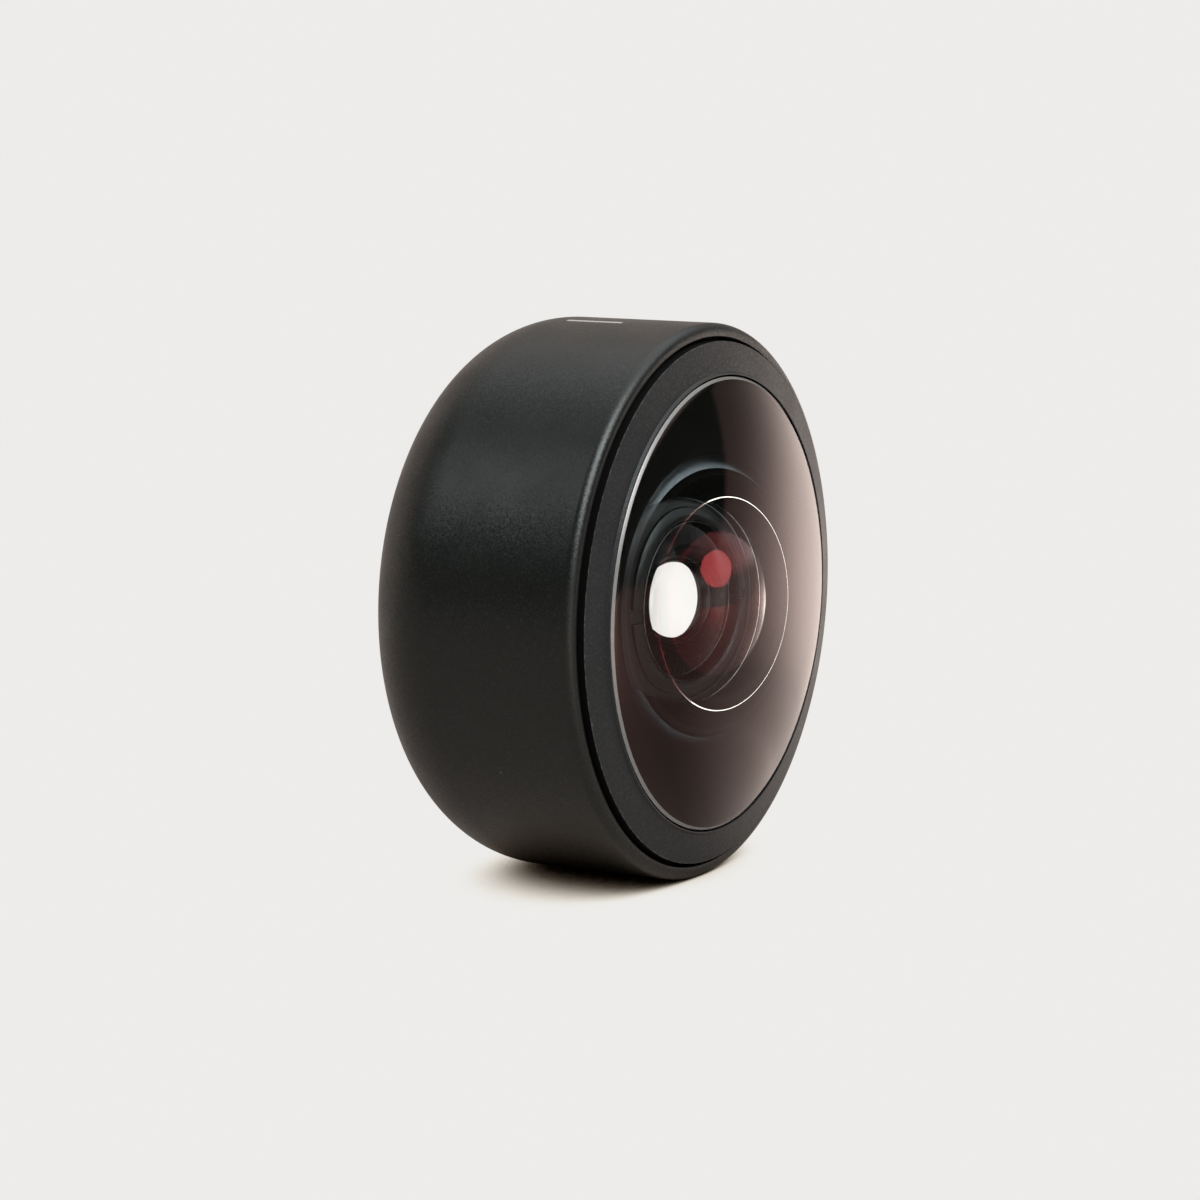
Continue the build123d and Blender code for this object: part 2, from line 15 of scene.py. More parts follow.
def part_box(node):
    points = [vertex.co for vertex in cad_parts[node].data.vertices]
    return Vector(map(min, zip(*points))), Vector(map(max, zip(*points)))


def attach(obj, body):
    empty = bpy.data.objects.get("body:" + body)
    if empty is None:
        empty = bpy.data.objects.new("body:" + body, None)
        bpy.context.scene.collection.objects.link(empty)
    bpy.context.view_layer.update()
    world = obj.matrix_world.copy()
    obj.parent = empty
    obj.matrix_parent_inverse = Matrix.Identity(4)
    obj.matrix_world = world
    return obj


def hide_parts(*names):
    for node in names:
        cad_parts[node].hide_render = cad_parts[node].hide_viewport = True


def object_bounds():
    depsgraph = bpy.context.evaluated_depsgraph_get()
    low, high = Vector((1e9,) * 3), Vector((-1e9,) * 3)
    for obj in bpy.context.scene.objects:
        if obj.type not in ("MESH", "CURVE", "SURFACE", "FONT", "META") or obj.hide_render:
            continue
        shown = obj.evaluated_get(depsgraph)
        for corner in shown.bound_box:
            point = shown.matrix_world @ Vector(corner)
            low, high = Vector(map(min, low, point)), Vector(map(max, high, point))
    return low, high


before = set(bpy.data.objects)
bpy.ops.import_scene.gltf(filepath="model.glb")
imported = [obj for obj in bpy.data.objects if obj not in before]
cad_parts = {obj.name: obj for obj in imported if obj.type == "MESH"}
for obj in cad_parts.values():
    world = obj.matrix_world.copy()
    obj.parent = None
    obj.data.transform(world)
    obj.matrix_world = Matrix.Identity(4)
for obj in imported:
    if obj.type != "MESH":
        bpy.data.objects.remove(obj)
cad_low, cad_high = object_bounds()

# Steps of turns and arcs, and small distances: MERGE in metres, NEAR and OVERSHOOT in millimetres
MM = 0.001
TURN_STEPS = 256
ARC_STEPS = 40
HOLE_STEPS = 48
SCREW_STEPS = 64
MERGE = 1e-7
NEAR = 0.01
OVERSHOOT = 1.0

# Camera, placed from the centre of the lip
CAMERA_AZIMUTH = -60.73
CAMERA_ELEVATION = 8.76
CAMERA_LENS = 117.7
CAMERA_SENSOR = 36.0
CAMERA_RIGHT = -8.145
CAMERA_UP = 0.1955
CAMERA_BACK = 295.05

# Room
PALE = (0.847, 0.838, 0.823)
FLOOR_SIZE = 6.0
AMBIENT = 0.36
PUPIL_LIGHT = (1.14, 1.04, 1.0)
WARM_LIGHT = (1.0, 0.85, 0.77)
ROOM_DARK = (0.030, 0.045, 0.038)
ROOM_EDGE = (0.557, 0.435, -0.708)
ROOM_EDGE_BLUR = 0.015
HORIZON_BLUR = 0.01
CEILING = (0.667, -0.333, 0.667)
CEILING_LIGHT = 1.2
CEILING_FADE = (0.2, 0.8)
CEILING_EDGE = (0.45, 0.62)
ROOM_HAZE = 0.15
LOBE_BLUR = 0.1
WINDOW = dict(strength=1.8, azimuth=-10.0, elevation=-6.0, sideways=0.47, above=0.23, below=0.31)
TABLE = dict(strength=1.3, azimuth=-110.0, elevation=0.0, sideways=0.30, above=0.10, below=0.36)
TABLE_LEFT = dict(strength=0.2, X=(0.2, -0.3))
TABLE_RIGHT = dict(strength=0.62, X=(0.0, 0.8), Y=(0.35, 0.0), Z=(-0.35, -0.6))
WALL = dict(strength=0.38, X=(-0.35, 0.1), Y=(0.0, 0.5), Z=(-0.9, -0.3))
BEHIND_BLUR = 0.02
# Painted contact shadow on the floor: how far the ambient occlusion reaches, and its fades per colour
PAINTED_SHADOW_REACH = 0.014
PAINTED_SHADOW_FADES = ((0.070, 0.41), (0.075, 0.425), (0.080, 0.45))
KEY = dict(azimuth=-107.0, elevation=42.0, spread=44.0, strength=2.3)
RIM_LIGHT = dict(azimuth=136.0, elevation=42.0, spread=30.0, strength=0.30)

# Finishes
DUST_COLOUR = (0.50, 0.48, 0.45)
# Lighter edge band of the bezel: rubbed wear, and a painted highlight along its outer edge
RUBBED_AND_HIGHLIGHT_COLOUR = (0.16, 0.155, 0.15)
RUBBED_AND_HIGHLIGHT_SHARE = 0.35
RUBBED_AND_HIGHLIGHT_WIDTH = 0.10
BLAST_DEPTH = 0.003
BLAST_TILT = 0.12
CLEAR_GLASS = (1.0, 1.0, 1.0)
FILMED_GLASS = (0.985, 0.985, 0.985)
DOME_INDEX = 1.62
CROWN_INDEX = 1.52
FLINT_INDEX = 1.72
REAR_INDEX = 1.60
INNER_COATING = (0.05, 0.04, 0.04)
CEMENT_COATING = (0.02, 0.02, 0.02)
GRIT_DARK = (0.86, 0.82, 0.75)
GRIT_PALE = (1.0, 0.97, 0.91)
# Colour of the painted glow that a ground edge gives off inside the glass
PAINTED_GLOW_COLOUR = (1.0, 0.94, 0.84)

# Ink on the seat of the dome. Its colour turns pale blue at glancing angles, a painted reflection, brightest
# near its outer edge at the upper left, a painted highlight; radii and rise in millimetres
INK_BLACK = (0.004, 0.004, 0.004)
INK_PAINTED_REFLECTION = (0.70, 0.88, 1.0)
PAINTED_REFLECTION_GLANCE = (0.58, 0.76)
PAINTED_REFLECTION_RADII = (10.8, 13.6)
PAINTED_REFLECTION_RISE = (-2.0, 14.0)
PAINTED_REFLECTION_LEAN = -0.5
PAINTED_REFLECTION_LEAST = 0.10

# Widths of softened edges, millimetres
FINE_EDGE = 0.02
RING_EDGE = 0.03
CELL_EDGE = 0.04
MOUNT_EDGE = 0.06

# Driving sizes of the turned pieces, millimetres
LIP_ROUND = 0.75
LIP_INNER_ROUND = 0.1
BACK_ROUND = 7.6
BARREL_WALL = 2.4
RIM_WALL = 1.9
LIP_WIDTH = 1.03
GROOVE_WIDTH = 0.3
GROOVE_DEPTH = 0.9
THREAD_FIT = 0.07
GLASS_FIT = 0.1
FIT = 0.05
AIR = 0.15
BEZEL_RISE = 1.15
BEZEL_RIM_WIDTH = 0.12
BEZEL_RIM_HEIGHT = 0.2
BEZEL_RIM_DRAFT = 0.08
BEZEL_SHOULDER = 0.4
BEZEL_LIP_DEPTH = 0.5
GLASS_NECK_STEP = 0.85
GLASS_REAR_CHAMFER = 1.4
GROUND_BEVEL_WIDTH = 0.2
GROUND_BEVEL_DROP = 0.18
DOME_RIM_RISE = 1.27
DOME_CURVE = 36.75
FRONT_THICKNESS = 2.62
HOLLOW_CURVE = 10.2
SEAT_INK_RADIUS = 14.5

SECOND_NECK_STEP = 0.6
SECOND_BEVEL = 0.07
SECOND_THICKNESS = 2.0
SECOND_FRONT_CURVE = 19.4
SECOND_REAR_CURVE = 5.85
DOUBLET_FRONT_CURVE = 23.0
CEMENT_CURVE = 10.0
CEMENT_GAP = 0.02
DOUBLET_REAR_CURVE = 50.0
REAR_FRONT_CURVE = 14.1
REAR_REAR_CURVE = 68.0
THREAD_STEP = 0.65
CELL_WALL = 1.3
RING_MOUTH = 0.4
SPANNER_SLOT = 1.1
SPANNER_DEPTH = 0.5
SPANNER_REACH = (0.5, 1.2)
SPANNER_TURNS = (0, 180)
SPACER_BLADE = 0.5
STOP_BLADE = 0.3
STOP_REACH = 0.5
CELL_WEB = 1.0
CELL_FLANGE = 1.2
TAIL_WALL = 1.0
SPACER_FLANGE = 0.8

# Bayonet mount, screws and rear baffle
WELL_RADIUS = 7.6
COLLAR_WALL = 1.0
CLAW_REACH = 1.4
CLAW_GAP = 1.7
CLAW_ANGLE = 64
CLAW_LEAD_IN = 0.3
DETENT_RADIUS = 0.55
LAND_RELIEF = 0.3
LAND_WIDTH = 2.8
LAND_HEIGHT = 0.2
PLATE_THICKNESS = 1.6
SPIGOT_WIDTH = 1.2
SPIGOT_HEIGHT = 0.6
BAFFLE_WALL = 0.5
BAFFLE_STEPS = 6
SCREW_ANGLES = (90, 210, 330)
SCREW_RADIUS = 0.6
SCREW_HEAD_RADIUS = 1.0
SCREW_HEAD_RIM = 0.12
SCREW_SUNK = 0.05
RECESS_LENGTH = 1.15
RECESS_WIDTH = 0.26
RECESS_DEPTH = 0.45
RECESS_TURNS = (45, 135)

# Index bar printed on the barrel
INDEX_TURN = -4.6
INDEX_FRONT = -6.5
INDEX_BACK = -11.2
INDEX_WIDTH = 0.5
INDEX_FACING = 0.9

# Angles past which an edge is rounded, or stays sharp
ROUND_ANGLE = 30
FLAT_ANGLE = 35
GLASS_FLAT_ANGLE = 20

lip_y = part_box("outer_barrel")[0].y


def span(node):
    """Outer radius, front height and back height of a CAD node, in millimetres."""
    low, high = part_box(node)
    return max(high.z, -low.z) / MM, (lip_y - low.y) / MM, (lip_y - high.y) / MM


def place(radius, height):
    """Point of the half section in the frame, in metres."""
    return Vector((radius * MM, lip_y - height * MM, 0))


def sag(curve, radius):
    """Height of a spherical cap of the given radius of curvature."""
    return curve - sqrt(curve**2 - radius**2)


class Section:
    """A half section drawn from its first point by straight lines and arcs, then turned."""

    def __init__(self, radius, height):
        self.mesh = bmesh.new()
        self.tip = self.mesh.verts.new(place(radius, height))

    def to(self, *points):
        """Straight lines through the points."""
        for radius, height in points:
            self.tip = bmesh.ops.extrude_vert_indiv(self.mesh, verts=[self.tip])["verts"][0]
            self.tip.co = place(radius, height)
        return self

    def arc(self, radius, height, turn, steps=ARC_STEPS):
        """Arc about a centre, clockwise in degrees with the radius to the right and the front up."""
        swept = bmesh.ops.spin(
            self.mesh,
            geom=[self.tip],
            cent=place(radius, height),
            axis=(0, 0, 1),
            angle=radians(turn),
            steps=steps,
        )
        self.tip = swept["geom_last"][0]
        return self

    def cap(self, apex, curve, radius, bulge=1, way=1):
        """Spherical cap from its apex out to its rim, or in from its rim with a way of -1. It bulges to
        the front, or to the back with a bulge of -1."""
        return self.arc(0, apex - bulge * curve, bulge * way * degrees(asin(radius / curve)))

    def turned(self, steps=TURN_STEPS):
        """The section turned full circle about the optical axis."""
        bmesh.ops.spin(
            self.mesh,
            geom=self.mesh.verts[:] + self.mesh.edges[:],
            cent=(0, 0, 0),
            axis=(0, 1, 0),
            angle=2 * pi,
            steps=steps,
            use_merge=True,
        )
        bmesh.ops.remove_doubles(self.mesh, verts=self.mesh.verts, dist=MERGE)
        bmesh.ops.recalc_face_normals(self.mesh, faces=self.mesh.faces)
        return self.mesh


def polar(point):
    """Radius from the optical axis and height in front of the lip of a point, in millimetres."""
    return hypot(point.x, point.z) / MM, (lip_y - point.y) / MM


def about_axis(turn):
    """Rotation about the optical axis, in degrees."""
    return Matrix.Rotation(radians(turn), 3, "Y")


def soften(mesh, width):
    """Rounds every edge where the surface turns sharply."""
    sharp = [e for e in mesh.edges if e.is_manifold and e.calc_face_angle(0) > radians(ROUND_ANGLE)]
    bmesh.ops.bevel(
        mesh,
        geom=sharp,
        offset=width * MM,
        offset_type="OFFSET",
        segments=2,
        profile=0.5,
        affect="EDGES",
        material=-1,
        clamp_overlap=True,
    )


def add_object(name, data):
    """Object of some data, linked to the scene."""
    made = bpy.data.objects.new(name, data)
    bpy.context.scene.collection.objects.link(made)
    return made


def mesh_object(name, mesh, materials=()):
    """Object of a mesh in the making, which is used up."""
    data = bpy.data.meshes.new(name)
    mesh.to_mesh(data)
    mesh.free()
    for material in materials:
        data.materials.append(material)
    return add_object(name, data)


def cut(mesh, tool, operation="DIFFERENCE"):
    """The mesh with a tool mesh cut out of it, or joined on; both are used up."""
    blanks = [mesh_object("blank", blank) for blank in (mesh, tool)]
    step = blanks[0].modifiers.new("cut", "BOOLEAN")
    step.operation = operation
    step.object = blanks[1]
    step.solver = "EXACT"
    result = bmesh.new()
    result.from_object(blanks[0], bpy.context.evaluated_depsgraph_get())
    for blank in blanks:
        data = blank.data
        bpy.data.objects.remove(blank)
        bpy.data.meshes.remove(data)
    return result


def block(mesh, low, high, turn=0):
    """Adds a box between two corners (across, along the axis, up) in metres, turned about the axis."""
    low, high = Vector(low), Vector(high)
    made = bmesh.ops.create_cube(mesh, size=1)["verts"]
    bmesh.ops.scale(mesh, verts=made, vec=high - low)
    bmesh.ops.translate(mesh, verts=made, vec=(low + high) / 2)
    bmesh.ops.rotate(mesh, verts=made, cent=(0, 0, 0), matrix=about_axis(turn))


def cut_slots(mesh, height, outer):
    """Sinks two radial spanner slots into the face of a ring that lies at this height."""
    tool = bmesh.new()
    face = lip_y - height * MM
    half, depth = SPANNER_SLOT / 2 * MM, SPANNER_DEPTH * MM
    inner_end, outer_end = (outer * share * MM for share in SPANNER_REACH)
    for turn in SPANNER_TURNS:
        block(tool, (inner_end, face - depth, -half), (outer_end, face + depth, half), turn)
    return cut(mesh, tool)


def paint(mesh, index, beyond=0, within=inf, above=-inf, below=inf):
    """Gives a material index to the faces between two radii and two heights."""
    for face in mesh.faces:
        radius, height = polar(face.calc_center_median())
        if beyond < radius < within and above < height < below:
            face.material_index = index


def piece(name, mesh, materials, replaced, flat_angle=FLAT_ANGLE, weighted=False):
    """Makes a piece of a finished mesh: it rides on the lens and stands for a CAD node."""
    for face in mesh.faces:
        face.smooth = True
    for edge in mesh.edges:
        edge.smooth = edge.calc_face_angle(0) <= radians(flat_angle)
    made = mesh_object(name, mesh, materials)
    if weighted:
        made.modifiers.new("even_shading", "WEIGHTED_NORMAL").keep_sharp = True
    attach(made, "root")
    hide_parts(replaced)


def glass_piece(name, mesh, materials, replaced):
    """A lens element, whose ground edges stay sharp."""
    piece(name, mesh, materials, replaced, flat_angle=GLASS_FLAT_ANGLE)


def inner_piece(name, mesh, material, replaced):
    """A turned metal piece of the lens's inside."""
    piece(name, mesh, [material], replaced, weighted=True)


# Node trees


def node(tree, kind, inputs=None, **settings):
    """Adds a shader node; inputs are sockets to link or values to set."""
    made = tree.nodes.new("ShaderNode" + kind)
    for key, value in settings.items():
        setattr(made, key, value)
    for key, value in (inputs or {}).items():
        if isinstance(value, bpy.types.NodeSocket):
            tree.links.new(value, made.inputs[key])
        else:
            made.inputs[key].default_value = value
    return made


def tree_of(*values):
    """Node tree of the first socket among some values."""
    return next(value.id_data for value in values if isinstance(value, bpy.types.NodeSocket))


def maths(operation, *values):
    """Output of a Math node on sockets or numbers."""
    return node(tree_of(*values), "Math", dict(enumerate(values)), operation=operation).outputs[0]


def product(*values):
    """Product of sockets and numbers."""
    return reduce(lambda one, other: maths("MULTIPLY", one, other), values)


def total(*values):
    """Sum of sockets and numbers."""
    return reduce(lambda one, other: maths("ADD", one, other), values)


def vector(operation, *values, **named):
    """Output of a Vector Math node on sockets or triples."""
    sockets = dict(enumerate(values), **named)
    made = node(tree_of(*sockets.values()), "VectorMath", sockets, operation=operation)
    return made.outputs["Value" if operation == "DOT_PRODUCT" else "Vector"]


def split(point):
    """X, Y and Z of a point or a direction."""
    return node(point.id_data, "SeparateXYZ", {"Vector": point}).outputs


def link(target, **sockets):
    """Links sockets to the inputs of a node by their names."""
    for title, socket in sockets.items():
        target.id_data.links.new(socket, target.inputs[title.replace("_", " ")])


def ramp(value, low, high, out_low=0.0, out_high=1.0, smooth=False):
    """Output of a clamped Map Range."""
    sockets = {"Value": value, "From Min": low, "From Max": high, "To Min": out_low, "To Max": out_high}
    kind = "SMOOTHSTEP" if smooth else "LINEAR"
    return node(value.id_data, "MapRange", sockets, interpolation_type=kind, clamp=True).outputs[0]


def mix_colour(share, first, second):
    """Colour between two colours or sockets, by a socket's share."""
    ends = {key: (*end, 1) if isinstance(end, tuple) else end for key, end in ((6, first), (7, second))}
    return node(share.id_data, "Mix", {0: share, **ends}, data_type="RGBA").outputs[2]


def new_group(name, inputs, outputs, vectors=()):
    """Empty shader node group and its group nodes; its sockets are floats, but for the named vectors."""
    tree = bpy.data.node_groups.new(name, "ShaderNodeTree")
    for way, titles in (("INPUT", inputs), ("OUTPUT", outputs)):
        for title in titles:
            kind = "NodeSocketVector" if title in vectors else "NodeSocketFloat"
            socket = tree.interface.new_socket(title, in_out=way, socket_type=kind)
            if way == "INPUT":
                socket.default_value = inputs[title]
    return tree, tree.nodes.new("NodeGroupInput"), tree.nodes.new("NodeGroupOutput")


def object_point(tree):
    """Object coordinates, in metres."""
    return node(tree, "TexCoord").outputs["Object"]


def off_axis(axes):
    """Distance from the optical axis of a point split into its axes."""
    across, upwards = (maths("POWER", axes[key], 2.0) for key in "XZ")
    return maths("SQRT", total(across, upwards))


def build_bead_blast():
    """Fine even pits of a blasted surface: their height, sparse glints, a slow mottle and facets."""
    inputs = {"Grain": 9000.0, "Tilt": 0.0}
    outputs = ("Height", "Glint", "Mottle", "Facet")
    tree, given, out = new_group("bead_blast", inputs, outputs, vectors=("Facet",))
    point, grain = object_point(tree), given.outputs["Grain"]
    pits = node(tree, "TexNoise", {"Vector": point, "Scale": grain, "Detail": 2.0, "Roughness": 0.6})
    cells = node(tree, "TexVoronoi", {"Vector": point, "Scale": grain}).outputs["Color"]
    slow = node(tree, "TexNoise", {"Vector": point, "Scale": 260.0, "Detail": 3.0, "Roughness": 0.55})
    chance = node(tree, "SeparateColor", {"Color": cells}).outputs[0]
    lean = vector("SUBTRACT", cells, (0.5, 0.5, 0.5))
    lean = vector("SCALE", lean, Scale=given.outputs["Tilt"])
    tilted = vector("ADD", node(tree, "NewGeometry").outputs["Normal"], lean)
    link(out, Height=pits.outputs["Fac"], Glint=ramp(chance, 0.8, 1.0))
    link(out, Mottle=slow.outputs["Fac"], Facet=vector("NORMALIZE", tilted))
    return tree


def build_turning():
    """Fine rings left by the lathe on a face or a bore, with an uneven depth."""
    tree, given, out = new_group("turning_rings", {"Pitch": 0.00012}, ("Height", "Mottle"))
    point = object_point(tree)
    axes = split(point)
    turns = maths("DIVIDE", total(off_axis(axes), axes["Y"]), given.outputs["Pitch"])
    wave = maths("SINE", product(turns, 2 * pi))
    uneven = node(tree, "TexNoise", {"W": turns, "Scale": 0.23, "Detail": 3.0}, noise_dimensions="1D")
    slow = node(tree, "TexNoise", {"Vector": point, "Scale": 300.0, "Detail": 2.0})
    height = maths("MULTIPLY_ADD", wave, 0.25, uneven.outputs["Fac"])
    link(out, Height=height, Mottle=slow.outputs["Fac"])
    return tree


def build_dust():
    """Sparse specks that settle on faces turned upwards."""
    tree, given, out = new_group("settled_dust", {"Density": 0.15, "Size": 900.0}, ("Mask",))
    rise = split(node(tree, "NewGeometry").outputs["Normal"])["Z"]
    upward = ramp(rise, -0.3, 1.0, 0.25, 1.0)
    specks = node(tree, "TexVoronoi", {"Vector": object_point(tree), "Scale": given.outputs["Size"]})
    chance = node(tree, "SeparateColor", {"Color": specks.outputs["Color"]}).outputs[1]
    least = maths("SUBTRACT", 1.0, given.outputs["Density"])
    chosen = maths("GREATER_THAN", chance, least)
    dot = ramp(specks.outputs["Distance"], 0.08, 0.16, 1.0, 0.0)
    link(out, Mask=product(chosen, dot, upward))
    return tree


def build_edge_wear_and_highlight():
    """Band round an edge of a turned piece, given the edge's radius and place along the axis: rubbed wear
    and a painted highlight.
    """
    inputs = {"Radius": 0.02, "Along": 0.0, "Width": 0.0003}
    tree, given, out = new_group("edge_wear_and_highlight", inputs, ("Mask",))
    point = object_point(tree)
    axes = split(point)
    aside = maths("SUBTRACT", off_axis(axes), given.outputs["Radius"])
    along = maths("SUBTRACT", axes["Y"], given.outputs["Along"])
    square = total(product(aside, aside), product(along, along))
    near = maths("DIVIDE", maths("SQRT", square), given.outputs["Width"])
    edge = ramp(near, 0.2, 1.0, 1.0, 0.0, smooth=True)
    broken = node(tree, "TexNoise", {"Vector": point, "Scale": 2200.0, "Detail": 4.0})
    link(out, Mask=product(edge, ramp(broken.outputs["Fac"], 0.42, 0.62)))
    return tree


BEAD_BLAST = build_bead_blast()
TURNING = build_turning()
DUST = build_dust()
EDGE_WEAR_AND_HIGHLIGHT = build_edge_wear_and_highlight()


def use_group(tree, group, **values):
    """Places a node group in a material with its own values."""
    made = node(tree, "Group", node_tree=group)
    for key, value in values.items():
        made.inputs[key].default_value = value
    return made


def new_material(name, **sockets):
    """Material with a Principled shader whose plain values are set on its own sockets."""
    material = bpy.data.materials.new(name)
    material.use_nodes = True
    shader = material.node_tree.nodes["Principled BSDF"]
    for key, value in sockets.items():
        shader.inputs[key.replace("_", " ")].default_value = value
    return material, material.node_tree, shader


def set_bump(shader, height, depth, normal=None):
    """Bump of a height that runs from 0 to 1 over a depth in millimetres."""
    sockets = {"Height": height, "Distance": depth * MM}
    if normal:
        sockets["Normal"] = normal
    link(shader, Normal=node(shader.id_data, "Bump", sockets).outputs["Normal"])


def mottled(mottle, colour, dark):
    """Colour that falls to a darker share of itself with the mottle."""
    return mix_colour(mottle, tuple(c * dark for c in colour), colour)


def dusted(tone, density, strength):
    """Tone under a thin fall of dust."""
    specks = use_group(tone.id_data, DUST, Density=density)
    return mix_colour(product(specks.outputs["Mask"], strength), tone, DUST_COLOUR)


def set_tone(shader, tone, mottle, roughness, spread):
    """Sets the colour, and a roughness that wanders about its mean with the mottle."""
    gloss = ramp(mottle, 0.3, 0.7, roughness - spread, roughness + spread)
    link(shader, Base_Color=tone, Roughness=gloss)


def blasted_metal(name, colour, glint_colour, index, roughness, grain, dust, sheen, wear_and_highlight=None):
    """Black anodised metal, bead-blasted: pits, glints, a slow mottle, dust and a rubbed edge that is also a
    painted highlight.
    """
    material, tree, shader = new_material(name, IOR=index, Specular_Tint=(*sheen, 1))
    blast = use_group(tree, BEAD_BLAST, Grain=grain, Tilt=BLAST_TILT)
    mottle = blast.outputs["Mottle"]
    tone = mix_colour(blast.outputs["Glint"], mottled(mottle, colour, dark=0.8), glint_colour)
    # The lighter edge all round is rubbed wear and a painted highlight
    if wear_and_highlight:
        radius, along, width = wear_and_highlight
        edge = use_group(tree, EDGE_WEAR_AND_HIGHLIGHT, Radius=radius * MM, Along=along, Width=width * MM)
        share = product(edge.outputs["Mask"], RUBBED_AND_HIGHLIGHT_SHARE)
        tone = mix_colour(share, tone, RUBBED_AND_HIGHLIGHT_COLOUR)
    set_tone(shader, dusted(tone, dust, strength=0.25), mottle, roughness, spread=0.04)
    set_bump(shader, blast.outputs["Height"], BLAST_DEPTH, blast.outputs["Facet"])
    return material


def turned_metal(name, colour, roughness, pitch=0.12, depth=0.002, metallic=0.0):
    """Black anodised metal as it left the lathe."""
    material, tree, shader = new_material(name, IOR=1.45, Metallic=metallic)
    rings = use_group(tree, TURNING, Pitch=pitch * MM)
    mottle = rings.outputs["Mottle"]
    tone = dusted(mottled(mottle, colour, dark=0.75), density=0.05, strength=0.2)
    set_tone(shader, tone, mottle, roughness, spread=0.05)
    set_bump(shader, rings.outputs["Height"], depth)
    return material


def matte_black(name, colour, roughness, grain, depth, gloss=0.5):
    """Rubber, moulded plastic or lacquer: dull, with a fine grain."""
    material, tree, shader = new_material(name, IOR=1.5, Specular_IOR_Level=gloss)
    blast = use_group(tree, BEAD_BLAST, Grain=grain)
    mottle = blast.outputs["Mottle"]
    set_tone(shader, mottled(mottle, colour, dark=0.7), mottle, roughness, spread=0.05)
    set_bump(shader, blast.outputs["Height"], depth)
    return material


def coated_glass(name, index, tint):
    """Polished glass; tint is the colour of its coating's weak reflection."""
    sockets = {"IOR": index, "Roughness": 0.0, "Transmission_Weight": 1.0, "Specular_Tint": (*tint, 1)}
    material, tree, shader = new_material(name, **sockets)
    film = node(tree, "TexNoise", {"Vector": object_point(tree), "Scale": 90.0, "Detail": 4.0})
    share = ramp(film.outputs["Fac"], 0.35, 0.7)
    link(shader, Base_Color=mix_colour(share, CLEAR_GLASS, FILMED_GLASS))
    return material


def ink_with_painted_reflection(name):
    """Black ink behind glass. Met at a glancing angle its colour turns pale blue, a painted reflection,
    most of all near its outer edge at the upper left, where this painted light is placed."""
    material, tree, shader = new_material(name, IOR=1.5, Specular_IOR_Level=0.05, Roughness=0.6)
    axes = split(object_point(tree))
    facing = node(tree, "LayerWeight", {"Blend": 0.5}).outputs["Facing"]
    rise = maths("MULTIPLY_ADD", axes["X"], PAINTED_REFLECTION_LEAN, axes["Z"])
    # Painted light: the pale colour is placed brightest towards the upper left and near the outer edge
    upper = ramp(rise, *(end * MM for end in PAINTED_REFLECTION_RISE), PAINTED_REFLECTION_LEAST, 1.0)
    outer = ramp(off_axis(axes), *(end * MM for end in PAINTED_REFLECTION_RADII), PAINTED_REFLECTION_LEAST, 1.0)
    share = product(ramp(facing, *PAINTED_REFLECTION_GLANCE), upper, outer)
    link(shader, Base_Color=mix_colour(share, INK_BLACK, INK_PAINTED_REFLECTION))
    return material


def ground_glass(name, index, painted_glow=0.0):
    """Frosted ground edge of a lens, with the coarse sparkle of the grinding. Seen from inside the glass,
    the edge gives off a painted glow of the given strength."""
    coat = {"Coat_Weight": 1.0, "Coat_Roughness": 0.32, "Coat_IOR": 2.2}
    sockets = {"IOR": index, "Transmission_Weight": 0.85, "Emission_Strength": painted_glow, **coat}
    material, tree, shader = new_material(name, **sockets)
    material.cycles.emission_sampling = "NONE"
    inside = node(tree, "NewGeometry").outputs["Backfacing"]
    grit = node(tree, "TexVoronoi", {"Vector": object_point(tree), "Scale": 9000.0}).outputs["Color"]
    red, green, blue = node(tree, "SeparateColor", {"Color": grit}).outputs
    # Painted glow, seen only from inside the glass
    link(shader, Emission_Color=mix_colour(inside, (0.0, 0.0, 0.0), PAINTED_GLOW_COLOUR))
    link(shader, Base_Color=mix_colour(red, GRIT_DARK, GRIT_PALE))
    link(shader, Roughness=ramp(green, 0.0, 1.0, 0.75, 1.0))
    set_bump(shader, blue, depth=0.01)
    return material


# Sizes read from the CAD nodes that finishes and pieces share
barrel_radius, barrel_back = span("outer_barrel")[::2]
lip_bore = barrel_radius - LIP_WIDTH
rim_radius = lip_bore - THREAD_FIT
glass_bore = rim_radius - RIM_WALL
glass_radius, dome_apex, front_seat = span("front_element")
glass_neck = glass_radius - GLASS_NECK_STEP
plate_radius = span("bayonet_mount")[0]

barrel_finish = blasted_metal(
    "barrel_blasted_black",
    (0.0036, 0.0042, 0.0036),
    (0.012, 0.0125, 0.0115),
    index=1.6,
    roughness=0.38,
    grain=10500.0,
    dust=0.006,
    sheen=(0.93, 1.0, 0.99),
)
bezel_finish = blasted_metal(
    "bezel_satin_black",
    (0.0135, 0.0143, 0.0150),
    (0.028, 0.029, 0.030),
    index=1.5,
    roughness=0.44,
    grain=12000.0,
    dust=0.02,
    sheen=(0.90, 0.97, 1.0),
    # Lighter outer edge: rubbed wear and a painted highlight
    wear_and_highlight=(lip_bore - GROOVE_WIDTH, lip_y - BEZEL_SHOULDER * MM, RUBBED_AND_HIGHLIGHT_WIDTH),
)
index_paint = matte_black("index_paint", (0.72, 0.72, 0.70), 0.5, 6000.0, depth=0.003)
gasket_rubber = matte_black("gasket_rubber", (0.010, 0.010, 0.010), 0.55, 4000.0, depth=0.01)
edge_ink = matte_black("edge_ink", INK_BLACK, 0.6, 5000.0, depth=0.004, gloss=0.05)
# Seat ink whose colour carries a painted reflection at glancing angles
seat_ink_painted_reflection = ink_with_painted_reflection("seat_ink_painted_reflection")
